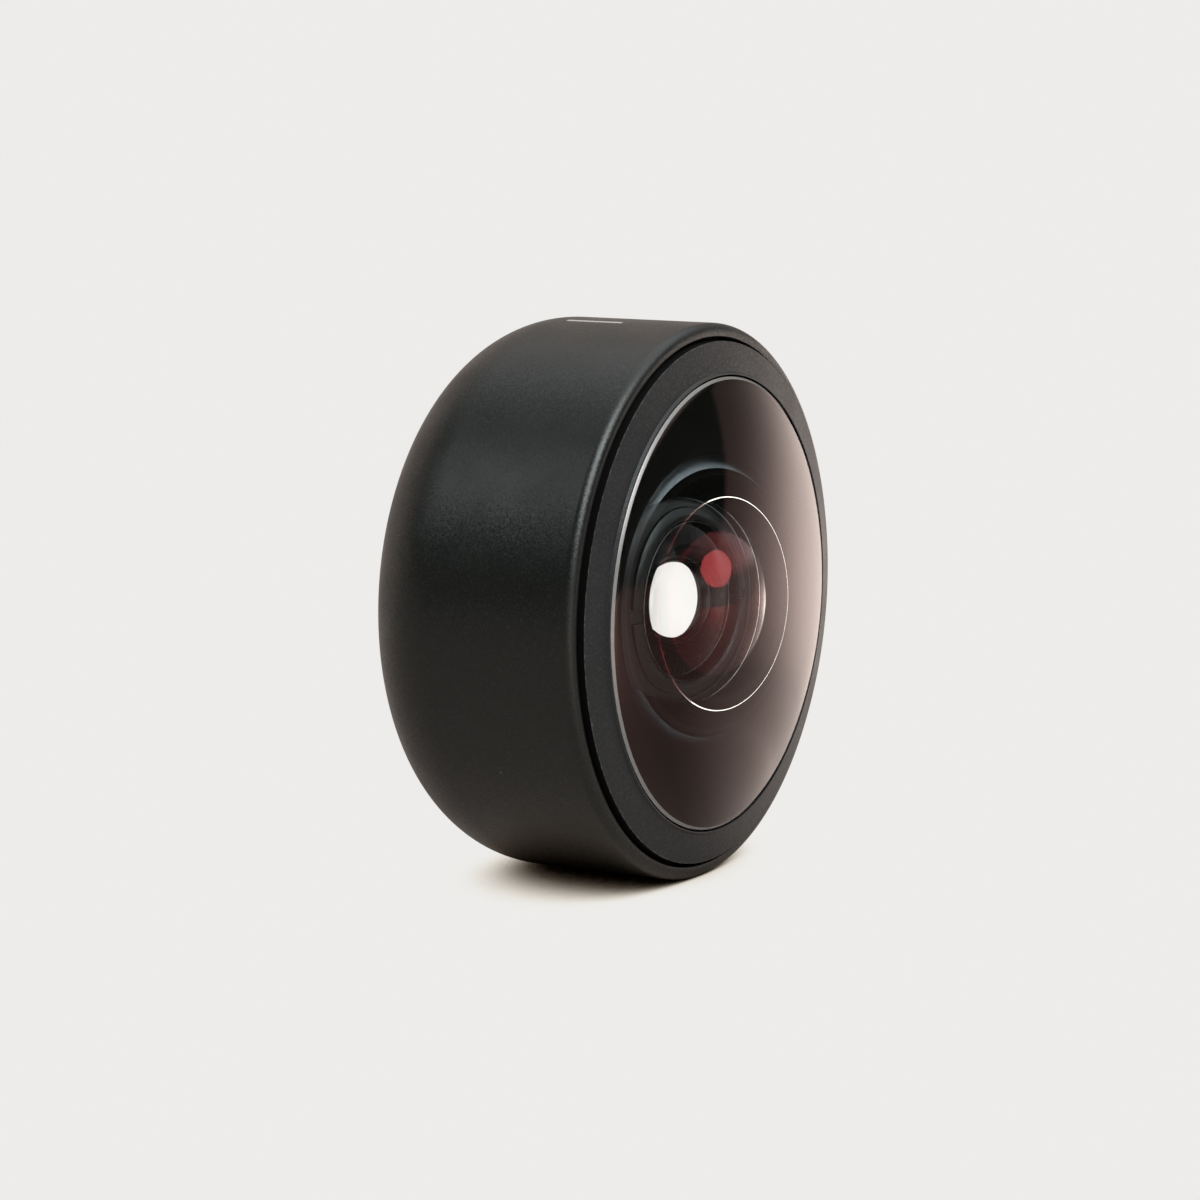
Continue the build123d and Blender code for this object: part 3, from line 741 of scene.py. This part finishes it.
# Dead black standing in for the shade in the groove: painted shade
groove_painted_shade = matte_black("groove_painted_shade", INK_BLACK, 0.7, 5000.0, depth=0.004, gloss=0.1)
cell_black = turned_metal("cell_turned_black", (0.010, 0.010, 0.0105), 0.46)
ring_black = turned_metal("ring_turned_black", (0.011, 0.011, 0.0115), 0.42, pitch=0.09)
stop_lacquer = matte_black("stop_lacquer", (0.008, 0.008, 0.008), 0.7, 5000.0, depth=0.004)
baffle_plastic = matte_black("baffle_plastic", (0.014, 0.014, 0.014), 0.62, 3500.0, depth=0.012)
mount_finish = turned_metal(
    "mount_turned_black", (0.085, 0.085, 0.088), 0.30, pitch=0.14, depth=0.003, metallic=0.7
)
screw_finish = turned_metal("screw_black_oxide", (0.14, 0.14, 0.145), 0.28, pitch=0.08, metallic=1.0)
dome_glass = coated_glass("dome_glass", DOME_INDEX, (1.0, 0.62, 0.60))
hollow_glass = coated_glass("hollow_glass", DOME_INDEX, (1.0, 0.11, 0.12))
second_glass = coated_glass("second_glass", CROWN_INDEX, INNER_COATING)
doublet_glass = coated_glass("doublet_glass", CROWN_INDEX, INNER_COATING)
cement_glass = coated_glass("cement_glass", CROWN_INDEX, CEMENT_COATING)
flint_glass = coated_glass("flint_glass", FLINT_INDEX, INNER_COATING)
flint_cement = coated_glass("flint_cement", FLINT_INDEX, CEMENT_COATING)
rear_glass = coated_glass("rear_glass", REAR_INDEX, INNER_COATING)
# The dome's ground bevel glows from inside with painted light
dome_bevel_painted_glow = ground_glass("dome_bevel_painted_glow", DOME_INDEX, painted_glow=2.0)
second_bevel = ground_glass("second_bevel", CROWN_INDEX)


def mark_index(mesh):
    """Cuts the index bar into the faces on top of the barrel and paints it."""
    turn, along = about_axis(INDEX_TURN), Vector((0, 1, 0))
    middle, sideways = turn @ Vector((0, 0, 1)), turn @ Vector((1, 0, 0))
    half = sideways * (INDEX_WIDTH / 2 * MM)
    front, back = place(0, INDEX_FRONT), place(0, INDEX_BACK)

    def on_top(face):
        return face.normal.dot(middle) > INDEX_FACING and face.calc_center_median().dot(middle) > 0

    for point, square in ((half, sideways), (-half, sideways), (front, along), (back, along)):
        top = [face for face in mesh.faces if on_top(face)]
        geometry = top + list({e for f in top for e in f.edges}) + list({v for f in top for v in f.verts})
        bmesh.ops.bisect_plane(mesh, geom=geometry, plane_co=point, plane_no=square, dist=MERGE)
    for face in filter(on_top, mesh.faces):
        centre = face.calc_center_median()
        if abs(centre.dot(sideways)) < half.length and front.y < centre.y < back.y:
            face.material_index = 1


def make_outer_barrel():
    """Cup with a recessed floor; the index bar is cut into the faces of its top and painted."""
    recess = plate_radius + FIT
    round_start = barrel_back + BACK_ROUND
    inner_radius = barrel_radius - BARREL_WALL
    inner_round = BACK_ROUND - BARREL_WALL
    floor_front = barrel_back + BARREL_WALL
    pocket_floor = span("cell_lock_ring")[2] - CELL_FLANGE
    section = Section(recess, barrel_back)
    section.to((barrel_radius - BACK_ROUND, barrel_back))
    section.arc(barrel_radius - BACK_ROUND, round_start, -90, steps=64)
    section.to((barrel_radius, -LIP_ROUND))
    section.arc(barrel_radius - LIP_ROUND, -LIP_ROUND, -90, steps=16)
    section.to((lip_bore + LIP_INNER_ROUND, 0))
    section.arc(lip_bore + LIP_INNER_ROUND, -LIP_INNER_ROUND, -90, steps=4)
    section.to((lip_bore, pocket_floor), (inner_radius, pocket_floor - BARREL_WALL + LIP_WIDTH))
    section.to((inner_radius, round_start))
    section.arc(inner_radius - inner_round, round_start, 90, steps=24)
    bore = collar_radius + SPIGOT_WIDTH + FIT
    section.to((bore, floor_front), (bore, plate_front), (recess, plate_front), (recess, barrel_back))
    mesh = section.turned()
    mark_index(mesh)
    piece("barrel_cup", mesh, [barrel_finish, index_paint], "outer_barrel")


def make_bezel():
    """Shallow cone with a raised rim round the glass, over a threaded skirt."""
    bore = glass_neck + AIR
    outer = lip_bore - GROOVE_WIDTH
    skirt = span("front_bezel_ring")[2]
    rim = bore + BEZEL_RIM_WIDTH
    section = Section(bore, -BEZEL_LIP_DEPTH).to((bore, BEZEL_RISE), (rim, BEZEL_RISE))
    section.to((rim + BEZEL_RIM_DRAFT, BEZEL_RISE - BEZEL_RIM_HEIGHT), (outer, BEZEL_SHOULDER))
    section.to((outer, -GROOVE_DEPTH), (rim_radius, -GROOVE_DEPTH), (rim_radius, skirt))
    section.to((glass_bore, skirt), (glass_bore, -BEZEL_LIP_DEPTH), (bore, -BEZEL_LIP_DEPTH))
    mesh = section.turned()
    soften(mesh, RING_EDGE)
    # The bezel's outer wall and the groove floor are painted dead black, a painted shade in the groove
    paint(mesh, 1, beyond=outer - NEAR, below=BEZEL_SHOULDER - RING_EDGE - NEAR)
    finishes = [bezel_finish, groove_painted_shade]
    piece("bezel_cone", mesh, finishes, "front_bezel_ring", weighted=True)


def make_gasket():
    """Rubber ring between the bezel's lip and the flange of the glass."""
    outer, front, back = span("front_gasket")
    bore = glass_neck + FIT
    section = Section(bore, back).to((outer, back), (outer, front), (bore, front), (bore, back))
    piece("gasket_ring", section.turned(), [gasket_rubber], "front_gasket")


def make_front_glass():
    """Wide dome over a deep hollow, its bevel ground and its edge inked."""
    dome_rim = glass_neck - GROUND_BEVEL_WIDTH
    flange = span("front_gasket")[2]
    hollow_apex = dome_apex - FRONT_THICKNESS
    depth = hollow_apex - front_seat
    hollow_rim = sqrt(HOLLOW_CURVE**2 - (HOLLOW_CURVE - depth) ** 2)
    ground_low = DOME_RIM_RISE - GROUND_BEVEL_DROP
    section = Section(0, dome_apex).cap(dome_apex, DOME_CURVE, dome_rim)
    section.to((glass_neck, ground_low), (glass_neck, flange), (glass_radius, flange))
    section.to((glass_radius, front_seat + GLASS_REAR_CHAMFER))
    section.to((glass_radius - GLASS_REAR_CHAMFER, front_seat))
    section.to((SEAT_INK_RADIUS, front_seat), (hollow_rim, front_seat))
    section.cap(hollow_apex, HOLLOW_CURVE, hollow_rim, way=-1)
    mesh = section.turned()
    paint(mesh, 1, within=hollow_rim, below=hollow_apex)
    # The ground bevel, which glows from inside with painted light
    paint(mesh, 2, beyond=dome_rim, above=ground_low)
    paint(mesh, 3, beyond=hollow_rim, below=ground_low)
    # The seat ring round the hollow gets the ink with a painted reflection
    paint(mesh, 4, beyond=hollow_rim, within=SEAT_INK_RADIUS, below=front_seat + NEAR)
    finishes = [dome_glass, hollow_glass, dome_bevel_painted_glow, edge_ink, seat_ink_painted_reflection]
    glass_piece("front_dome_glass", mesh, finishes, "front_element")


# Second element and its cell
second_radius, second_apex, second_back = span("second_element")
ring_front, ring_back = span("second_element_ring")[1:]
second_neck = second_radius - SECOND_NECK_STEP
hollow_apex = second_apex - SECOND_THICKNESS
second_hollow = sqrt(SECOND_REAR_CURVE**2 - (SECOND_REAR_CURVE - hollow_apex + second_back) ** 2)


def make_second_glass():
    """Deep negative meniscus, stepped at the front for its ring, its edges inked."""
    rim = second_neck - SECOND_BEVEL
    ground_low = second_apex - sag(SECOND_FRONT_CURVE, rim) - SECOND_BEVEL
    section = Section(0, second_apex).cap(second_apex, SECOND_FRONT_CURVE, rim).to((second_neck, ground_low))
    section.to((second_neck, ring_back), (second_radius, ring_back), (second_radius, second_back))
    section.to((second_hollow, second_back)).cap(hollow_apex, SECOND_REAR_CURVE, second_hollow, way=-1)
    mesh = section.turned()
    paint(mesh, 1, beyond=second_neck - NEAR, below=ground_low)
    paint(mesh, 1, beyond=second_hollow, below=second_back + NEAR)
    paint(mesh, 2, beyond=rim, above=ground_low)
    finishes = [second_glass, edge_ink, second_bevel]
    glass_piece("second_meniscus_glass", mesh, finishes, "second_element")


def make_second_ring():
    """Retaining ring of the second element, its mouth opened to the glass."""
    outer = span("second_element_ring")[0]
    bore = second_neck + GLASS_FIT
    section = Section(bore, ring_back).to((outer, ring_back), (outer, ring_front))
    section.to((bore + RING_MOUTH, ring_front), (bore, ring_front - RING_MOUTH), (bore, ring_back))
    mesh = section.turned()
    soften(mesh, RING_EDGE)
    mesh = cut_slots(mesh, ring_front, outer)
    inner_piece("second_glass_ring", mesh, ring_black, "second_element_ring")


def make_doublet():
    """Cemented pair: the front half lies in the hollow face of the wider rear half."""
    front_radius, front_apex, cement_apex = span("doublet_front_element")
    top = cement_apex + sag(CEMENT_CURVE, front_radius)
    section = Section(0, front_apex).cap(front_apex, DOUBLET_FRONT_CURVE, front_radius)
    section.to((front_radius, top)).cap(cement_apex, CEMENT_CURVE, front_radius, bulge=-1, way=-1)
    mesh = section.turned()
    paint(mesh, 1, below=top)
    paint(mesh, 2, beyond=front_radius - NEAR)
    finishes = [doublet_glass, cement_glass, edge_ink]
    glass_piece("doublet_front_glass", mesh, finishes, "doublet_front_element")
    outer, rear_top, rear_apex = span("doublet_rear_element")
    socket_apex = cement_apex - CEMENT_GAP
    socket_curve = CEMENT_CURVE + CEMENT_GAP
    socket_rim = sqrt(socket_curve**2 - (socket_curve - rear_top + socket_apex) ** 2)
    back = rear_apex + sag(DOUBLET_REAR_CURVE, front_radius)
    section = Section(0, socket_apex).cap(socket_apex, socket_curve, socket_rim, bulge=-1)
    section.to((outer, rear_top), (outer, back), (front_radius, back))
    section.cap(rear_apex, DOUBLET_REAR_CURVE, front_radius, bulge=-1, way=-1)
    mesh = section.turned()
    paint(mesh, 1, within=socket_rim, above=back)
    paint(mesh, 2, beyond=front_radius, below=rear_top + NEAR)
    glass_piece("doublet_rear_glass", mesh, [flint_glass, flint_cement, edge_ink], "doublet_rear_element")


def make_rear_glass():
    """Last element, loaded from behind, its flange inked."""
    outer, apex, back_apex = span("rear_element")
    flange = apex - sag(REAR_FRONT_CURVE, clear_radius)
    back = back_apex + sag(REAR_REAR_CURVE, clear_radius)
    section = Section(0, apex).cap(apex, REAR_FRONT_CURVE, clear_radius)
    section.to((outer, flange), (outer, back), (clear_radius, back))
    section.cap(back_apex, REAR_REAR_CURVE, clear_radius, bulge=-1, way=-1)
    mesh = section.turned()
    paint(mesh, 1, beyond=clear_radius)
    glass_piece("rear_glass", mesh, [rear_glass, edge_ink], "rear_element")


# Places along the axis behind the glass
doublet_radius = span("doublet_rear_element")[0]
clear_radius = span("doublet_front_element")[0]
clear_bore = clear_radius + FIT
second_bore = second_radius + FIT
second_thread = second_bore + THREAD_STEP
doublet_bore = doublet_radius + FIT
rear_thread = doublet_bore + THREAD_STEP
web_back = span("rear_element")[1] - sag(REAR_FRONT_CURVE, clear_radius)
rear_ring_radius, rear_back, rear_ring_back = span("rear_retaining_ring")


def make_lens_cell():
    """Stepped tube that holds every element behind the front glass."""
    flange_radius, head_front, cell_back = span("lens_cell")
    flange_front = span("cell_lock_ring")[2]
    head = second_thread + CELL_WALL
    body = second_bore + CELL_WALL
    tail = rear_thread + TAIL_WALL
    spacer_floor = second_back - SPACER_FLANGE - AIR
    tail_front = spacer_floor - CELL_WALL
    section = Section(second_thread, head_front).to((head, head_front), (head, flange_front))
    section.to((flange_radius, flange_front), (flange_radius, flange_front - CELL_FLANGE))
    section.to((body, flange_front - CELL_FLANGE), (body, tail_front), (tail, tail_front - (body - tail)))
    section.to((tail, cell_back), (rear_thread, cell_back), (rear_thread, rear_back + AIR))
    section.to((doublet_bore, rear_back + AIR), (doublet_bore, web_back), (clear_bore, web_back))
    section.to((clear_bore, web_back + CELL_WEB), (doublet_bore, web_back + CELL_WEB))
    section.to((doublet_bore, spacer_floor), (second_bore, spacer_floor), (second_bore, ring_back - AIR))
    section.to((second_thread, ring_back - AIR), (second_thread, head_front))
    mesh = section.turned()
    soften(mesh, CELL_EDGE)
    inner_piece("lens_cell_tube", mesh, cell_black, "lens_cell")


def make_spacer():
    """Spacer between the second element and the doublet, bladed to stop stray light."""
    outer, front, back = span("baffle_spacer")
    bore, blade_back, flange_back = second_hollow + FIT, front - SPACER_BLADE, front - SPACER_FLANGE
    section = Section(bore, front).to((outer, front), (outer, flange_back), (doublet_radius, flange_back))
    section.to((doublet_radius, back), (clear_bore, back), (clear_bore, blade_back), (bore, blade_back))
    section.to((bore, front))
    mesh = section.turned()
    soften(mesh, FINE_EDGE)
    inner_piece("baffle_spacer_ring", mesh, ring_black, "baffle_spacer")


def make_stop():
    """Aperture stop: a thin blade on a rim, lacquered."""
    outer, front, back = span("aperture_stop")
    throat = clear_radius - STOP_REACH
    blade_front = back + STOP_BLADE
    section = Section(throat, back).to((outer, back), (outer, front), (clear_bore, front))
    section.to((clear_bore, blade_front), (throat + STOP_BLADE, blade_front), (throat, back))
    piece("stop_blade", section.turned(), [stop_lacquer], "aperture_stop")


def make_rear_ring():
    """Retaining ring of the rear element, slotted on its back face."""
    bore = clear_radius + GLASS_FIT
    outer, back = rear_ring_radius, rear_ring_back
    section = Section(bore, rear_back).to((outer, rear_back), (outer, back))
    section.to((bore + RING_MOUTH, back), (bore, back + RING_MOUTH), (bore, rear_back))
    mesh = section.turned()
    soften(mesh, RING_EDGE)
    mesh = cut_slots(mesh, back, outer)
    inner_piece("rear_glass_ring", mesh, ring_black, "rear_retaining_ring")


# Bayonet mount, its baffle and its screws
spigot_front, collar_back = span("bayonet_mount")[1:]
plate_front = spigot_front - SPIGOT_HEIGHT
seat = plate_front - PLATE_THICKNESS
collar_radius = WELL_RADIUS + COLLAR_WALL
claw_radius = collar_radius + CLAW_REACH
land_radius = claw_radius + LAND_RELIEF
screw_circle = land_radius + LAND_WIDTH / 2
screw_places = [(screw_circle * cos(radians(a)), screw_circle * sin(radians(a))) for a in SCREW_ANGLES]


def add_claw(mesh, turn):
    """Adds one bayonet claw, centred on the turn, its back corner led in."""
    root = WELL_RADIUS + COLLAR_WALL / 2
    section = Section(root, collar_back + FIT)
    section.to((claw_radius - CLAW_LEAD_IN, collar_back + FIT), (claw_radius, collar_back + CLAW_LEAD_IN))
    section.to((claw_radius, seat - CLAW_GAP), (root, seat - CLAW_GAP), (root, collar_back + FIT))
    claw = section.mesh
    bmesh.ops.remove_doubles(claw, verts=claw.verts, dist=MERGE)
    bmesh.ops.contextual_create(claw, geom=claw.edges[:])
    bmesh.ops.rotate(claw, verts=claw.verts, cent=(0, 0, 0), matrix=about_axis(turn - CLAW_ANGLE / 2))
    bmesh.ops.spin(
        claw,
        geom=claw.faces[:] + claw.edges[:] + claw.verts[:],
        cent=(0, 0, 0),
        axis=(0, 1, 0),
        angle=radians(CLAW_ANGLE),
        steps=CLAW_ANGLE // 2,
    )
    bmesh.ops.recalc_face_normals(claw, faces=claw.faces)
    soften(claw, MOUNT_EDGE)
    return cut(mesh, claw, "UNION")


def turned_tool(x, z, *points):
    """A closed turned tool through the points, its axis moved across and up in millimetres."""
    mesh = Section(0, points[0][1]).to(*points, (0, points[-1][1])).turned(HOLE_STEPS)
    bmesh.ops.translate(mesh, verts=mesh.verts, vec=(x * MM, 0, z * MM))
    return mesh


def make_mount():
    """Countersunk plate with a raised land, and a collar with two claws and their detents."""
    spigot = collar_radius + SPIGOT_WIDTH
    section = Section(WELL_RADIUS, spigot_front).to((spigot, spigot_front), (spigot, plate_front))
    land = seat + LAND_HEIGHT
    section.to((plate_radius, plate_front), (plate_radius, seat), (land_radius, seat), (land_radius, land))
    section.to((collar_radius, land), (collar_radius, collar_back), (WELL_RADIUS, collar_back))
    section.to((WELL_RADIUS, spigot_front))
    mesh = section.turned()
    soften(mesh, MOUNT_EDGE)
    for turn, side in ((0, 1), (180, -1)):
        mesh = add_claw(mesh, turn)
        ends = (seat - CLAW_GAP + OVERSHOOT, collar_back - OVERSHOOT)
        mesh = cut(mesh, turned_tool(side * claw_radius, 0, *((DETENT_RADIUS, end) for end in ends)))
    sink = SCREW_HEAD_RADIUS + SCREW_SUNK + SCREW_HEAD_RIM
    hole = SCREW_RADIUS + GLASS_FIT
    front, neck, back = plate_front + OVERSHOOT, seat + sink - hole, seat - OVERSHOOT
    for x, z in screw_places:
        mesh = cut(mesh, turned_tool(x, z, (hole, front), (hole, neck), (sink, seat), (sink, back)))
    piece("bayonet_plate", mesh, [mount_finish], "bayonet_mount", weighted=True)


def make_rear_baffle():
    """Stepped black cone that lines the collar's bore."""
    flange, front, mouth = span("rear_baffle")
    outer = WELL_RADIUS - FIT
    wide = outer - BAFFLE_WALL
    step = (wide - clear_radius - 2 * AIR) / BAFFLE_STEPS
    rise = (front - mouth) / BAFFLE_STEPS
    section = Section(outer, mouth).to((wide, mouth))
    for index in range(BAFFLE_STEPS):
        height = mouth + (index + 1) * rise
        section.to((wide - index * step, height))
        if index < BAFFLE_STEPS - 1:
            section.to((wide - (index + 1) * step, height))
    section.to((flange, front), (flange, spigot_front), (outer, spigot_front), (outer, mouth))
    mesh = section.turned()
    soften(mesh, FINE_EDGE)
    piece("rear_baffle_cone", mesh, [baffle_plastic], "rear_baffle", weighted=True)


def make_screws():
    """Three countersunk screws with crossed drive recesses."""
    front, head_back = span("bayonet_screws")[1:]
    cone_back = head_back + SCREW_HEAD_RIM
    neck = cone_back + SCREW_HEAD_RADIUS - SCREW_RADIUS
    section = Section(0, head_back).to((SCREW_HEAD_RADIUS, head_back), (SCREW_HEAD_RADIUS, cone_back))
    tip = SCREW_RADIUS - 2 * FIT
    section.to((SCREW_RADIUS, neck), (SCREW_RADIUS, front + FIT), (tip, front), (0, front))
    screw = section.turned(SCREW_STEPS)
    soften(screw, RING_EDGE)
    face = lip_y - head_back * MM
    half, reach, depth = RECESS_WIDTH / 2 * MM, RECESS_LENGTH / 2 * MM, RECESS_DEPTH * MM
    for turn in RECESS_TURNS:
        slot = bmesh.new()
        block(slot, (-reach, face - depth, -half), (reach, face + depth, half), turn)
        screw = cut(screw, slot)
    screws = bmesh.new()
    for x, z in screw_places:
        data = bpy.data.meshes.new("screw")
        copied = screw.copy()
        bmesh.ops.translate(copied, verts=copied.verts, vec=(x * MM, 0, z * MM))
        copied.to_mesh(data)
        screws.from_mesh(data)
        copied.free()
        bpy.data.meshes.remove(data)
    screw.free()
    piece("bayonet_screw_set", screws, [screw_finish], "bayonet_screws", weighted=True)


for make in (
    make_outer_barrel, make_bezel, make_gasket, make_front_glass, make_second_glass, make_second_ring,
    make_doublet, make_rear_glass, make_lens_cell, make_spacer, make_stop, make_rear_ring, make_mount,
    make_rear_baffle, make_screws,
):
    make()


# CAD nodes that keep their own mesh get their finishes
CARRIED = {
    "front_seal_ring": gasket_rubber,
    "cell_seal_ring": gasket_rubber,
    "inner_housing": cell_black,
    "cell_lock_ring": ring_black,
}
for name, material in CARRIED.items():
    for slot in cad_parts[name].material_slots:
        slot.material = material


# Room: pale floor, pale world, two soft lamps


def heading(azimuth, elevation=0.0):
    """Unit direction towards an azimuth, from +X towards +Y, and an elevation in degrees."""
    azimuth, elevation = radians(azimuth), radians(elevation)
    return Vector((cos(azimuth) * cos(elevation), sin(azimuth) * cos(elevation), sin(elevation)))


def lobe(direction, strength, azimuth, elevation, sideways, above, below):
    """Soft bright patch round a heading, with its own width sideways, above and below."""
    across = vector("DOT_PRODUCT", direction, heading(azimuth + 90))
    upwards = maths("SUBTRACT", split(direction)["Z"], sin(radians(elevation)))
    upper = maths("MAXIMUM", upwards, 0.0)
    lower = maths("MINIMUM", upwards, 0.0)
    parts = ((across, sideways), (upper, above), (lower, below))
    shares = [maths("DIVIDE", part, width) for part, width in parts]
    far = total(*(product(share, share) for share in shares))
    fall = maths("EXPONENT", product(far, -1.0))
    ahead = vector("DOT_PRODUCT", direction, heading(azimuth))
    return product(fall, ramp(ahead, -LOBE_BLUR, LOBE_BLUR), strength)


def zone(axes, strength, **ends):
    """Light that comes up between two ends on each of the named axes."""
    return product(*(ramp(axes[key], *pair) for key, pair in ends.items()), strength)


def build_room_light():
    """What the room sends from a direction, and where it is open: a low window to the right, a pale wall
    behind the lens, a pale table that brightens to the front, and a dark room above it."""
    inputs = {"Direction": (0, 0, 1)}
    tree, given, out = new_group("room_light", inputs, ("Light", "Open"), vectors=("Direction",))
    direction = given.outputs["Direction"]
    axes = split(direction)
    below = ramp(axes["Z"], HORIZON_BLUR, -HORIZON_BLUR)
    above = ramp(axes["Z"], -HORIZON_BLUR, HORIZON_BLUR)
    table = product(lobe(direction, **TABLE), below)
    zones = (zone(axes, **part) for part in (TABLE_LEFT, TABLE_RIGHT, WALL))
    edge = vector("DOT_PRODUCT", direction, ROOM_EDGE)
    closed = product(above, ramp(edge, ROOM_EDGE_BLUR, -ROOM_EDGE_BLUR))
    link(out, Light=total(lobe(direction, **WINDOW), ROOM_HAZE, table, *zones))
    link(out, Open=maths("SUBTRACT", 1.0, closed))
    return tree


ROOM_LIGHT = build_room_light()


def room_colour(direction, path):
    """Colour that reflections and glass see along a direction. Only reflections see the ceiling, and
    through the glass the room behind the lens is white."""
    room = node(direction.id_data, "Group", {"Direction": direction}, node_tree=ROOM_LIGHT)
    warm = vector("SCALE", WARM_LIGHT, Scale=room.outputs["Light"])
    axes = split(direction)
    fade = ramp(vector("DOT_PRODUCT", direction, CEILING), *CEILING_FADE, 0.0, CEILING_LIGHT)
    overhead = product(fade, ramp(axes["Z"], *CEILING_EDGE), path.outputs["Is Glossy Ray"])
    seen = mix_colour(room.outputs["Open"], vector("ADD", ROOM_DARK, overhead), warm)
    through = product(path.outputs["Is Transmission Ray"], ramp(axes["Y"], 0.0, BEHIND_BLUR))
    return mix_colour(through, seen, PUPIL_LIGHT)


def sharp_ray(path):
    """1 for a ray that a reflection or glass sends on."""
    return maths("MAXIMUM", path.outputs["Is Glossy Ray"], path.outputs["Is Transmission Ray"])


def make_floor():
    """Pale seamless floor under the rim. It glows rather than being lit: the camera sees pale with a painted
    contact shadow from ambient occlusion, and reflections and glass see the room's light painted on it.
    """
    mesh = bmesh.new()
    bmesh.ops.create_grid(mesh, x_segments=1, y_segments=1, size=FLOOR_SIZE / 2)
    bmesh.ops.translate(mesh, verts=mesh.verts, vec=(0, 0, cad_low.z))
    sockets = {"Base_Color": (*PALE, 1), "Roughness": 1.0, "Specular_IOR_Level": 0.0}
    material, tree, shader = new_material("floor_paper", **sockets)
    material.cycles.emission_sampling = "NONE"
    path = node(tree, "LightPath")
    seen = path.outputs["Is Camera Ray"]
    offset = vector("SUBTRACT", object_point(tree), (0.0, lip_y, 0.0))
    direction = vector("NORMALIZE", offset)
    # Painted contact shadow: ambient occlusion darkens the floor's glow near the lens
    covered = node(tree, "AmbientOcclusion", {"Distance": PAINTED_SHADOW_REACH}, samples=24).outputs["AO"]
    lift = (ramp(covered, low, high, smooth=True) for low, high in PAINTED_SHADOW_FADES)
    shade = node(tree, "CombineXYZ", dict(enumerate(lift))).outputs[0]
    # Reflections and glass see the room's light painted on the floor
    view = mix_colour(seen, room_colour(direction, path), PALE)
    shaded = vector("MULTIPLY", view, shade)
    # Painted shadow made deeper where reflections and glass see the floor
    deeper_painted_shadow = vector("MULTIPLY", shaded, shade)
    glow = node(tree, "Emission", {"Color": mix_colour(seen, deeper_painted_shadow, shaded), "Strength": 1.0})
    shown = maths("MAXIMUM", sharp_ray(path), seen)
    both = node(tree, "MixShader", {0: shown, 1: shader.outputs[0], 2: glow.outputs[0]})
    link(tree.nodes["Material Output"], Surface=both.outputs[0])
    mesh_object("floor", mesh, [material])


make_floor()


def make_world():
    """Pale to the camera, an even soft light on the object, and the room in reflections and glass."""
    world = bpy.data.worlds.new("studio")
    bpy.context.scene.world = world
    world.use_nodes = True
    tree = world.node_tree
    path = node(tree, "LightPath")
    direction = node(tree, "TexCoord").outputs["Generated"]
    plain = mix_colour(path.outputs["Is Camera Ray"], (AMBIENT, AMBIENT, AMBIENT), PALE)
    colour = mix_colour(sharp_ray(path), plain, room_colour(direction, path))
    link(tree.nodes["Background"], Color=colour)


make_world()


def make_lamp(name, azimuth, elevation, spread, strength):
    """Soft lamp far off in a direction, as wide as its spread in degrees."""
    light = bpy.data.lights.new(name, "SUN")
    light.energy = strength
    light.angle = radians(spread)
    lamp = add_object(name, light)
    lamp.visible_camera = False
    lamp.rotation_mode = "QUATERNION"
    lamp.rotation_quaternion = heading(azimuth, elevation).to_track_quat("Z", "Y")


make_lamp("key_lamp", **KEY)
make_lamp("rim_lamp", **RIM_LIGHT)


def make_camera():
    """Camera at the photographed angle, placed from the centre of the lip."""
    azimuth, elevation = radians(CAMERA_AZIMUTH), radians(CAMERA_ELEVATION)
    right = Vector((cos(azimuth), sin(azimuth), 0))
    back = Vector((sin(azimuth) * cos(elevation), -cos(azimuth) * cos(elevation), sin(elevation)))
    up = back.cross(right)
    data = bpy.data.cameras.new("camera")
    data.lens = CAMERA_LENS
    data.sensor_width = CAMERA_SENSOR
    data.sensor_fit = "HORIZONTAL"
    data.clip_start = 0.01
    data.clip_end = 20
    camera = add_object("camera", data)
    offset = CAMERA_RIGHT * right + CAMERA_UP * up + CAMERA_BACK * back
    camera.location = Vector((0, lip_y, 0)) + offset * MM
    camera.rotation_mode = "QUATERNION"
    camera.rotation_quaternion = Matrix((right, up, back)).transposed().to_quaternion()
    bpy.context.scene.camera = camera


make_camera()
bpy.context.scene.view_settings.view_transform = "Standard"
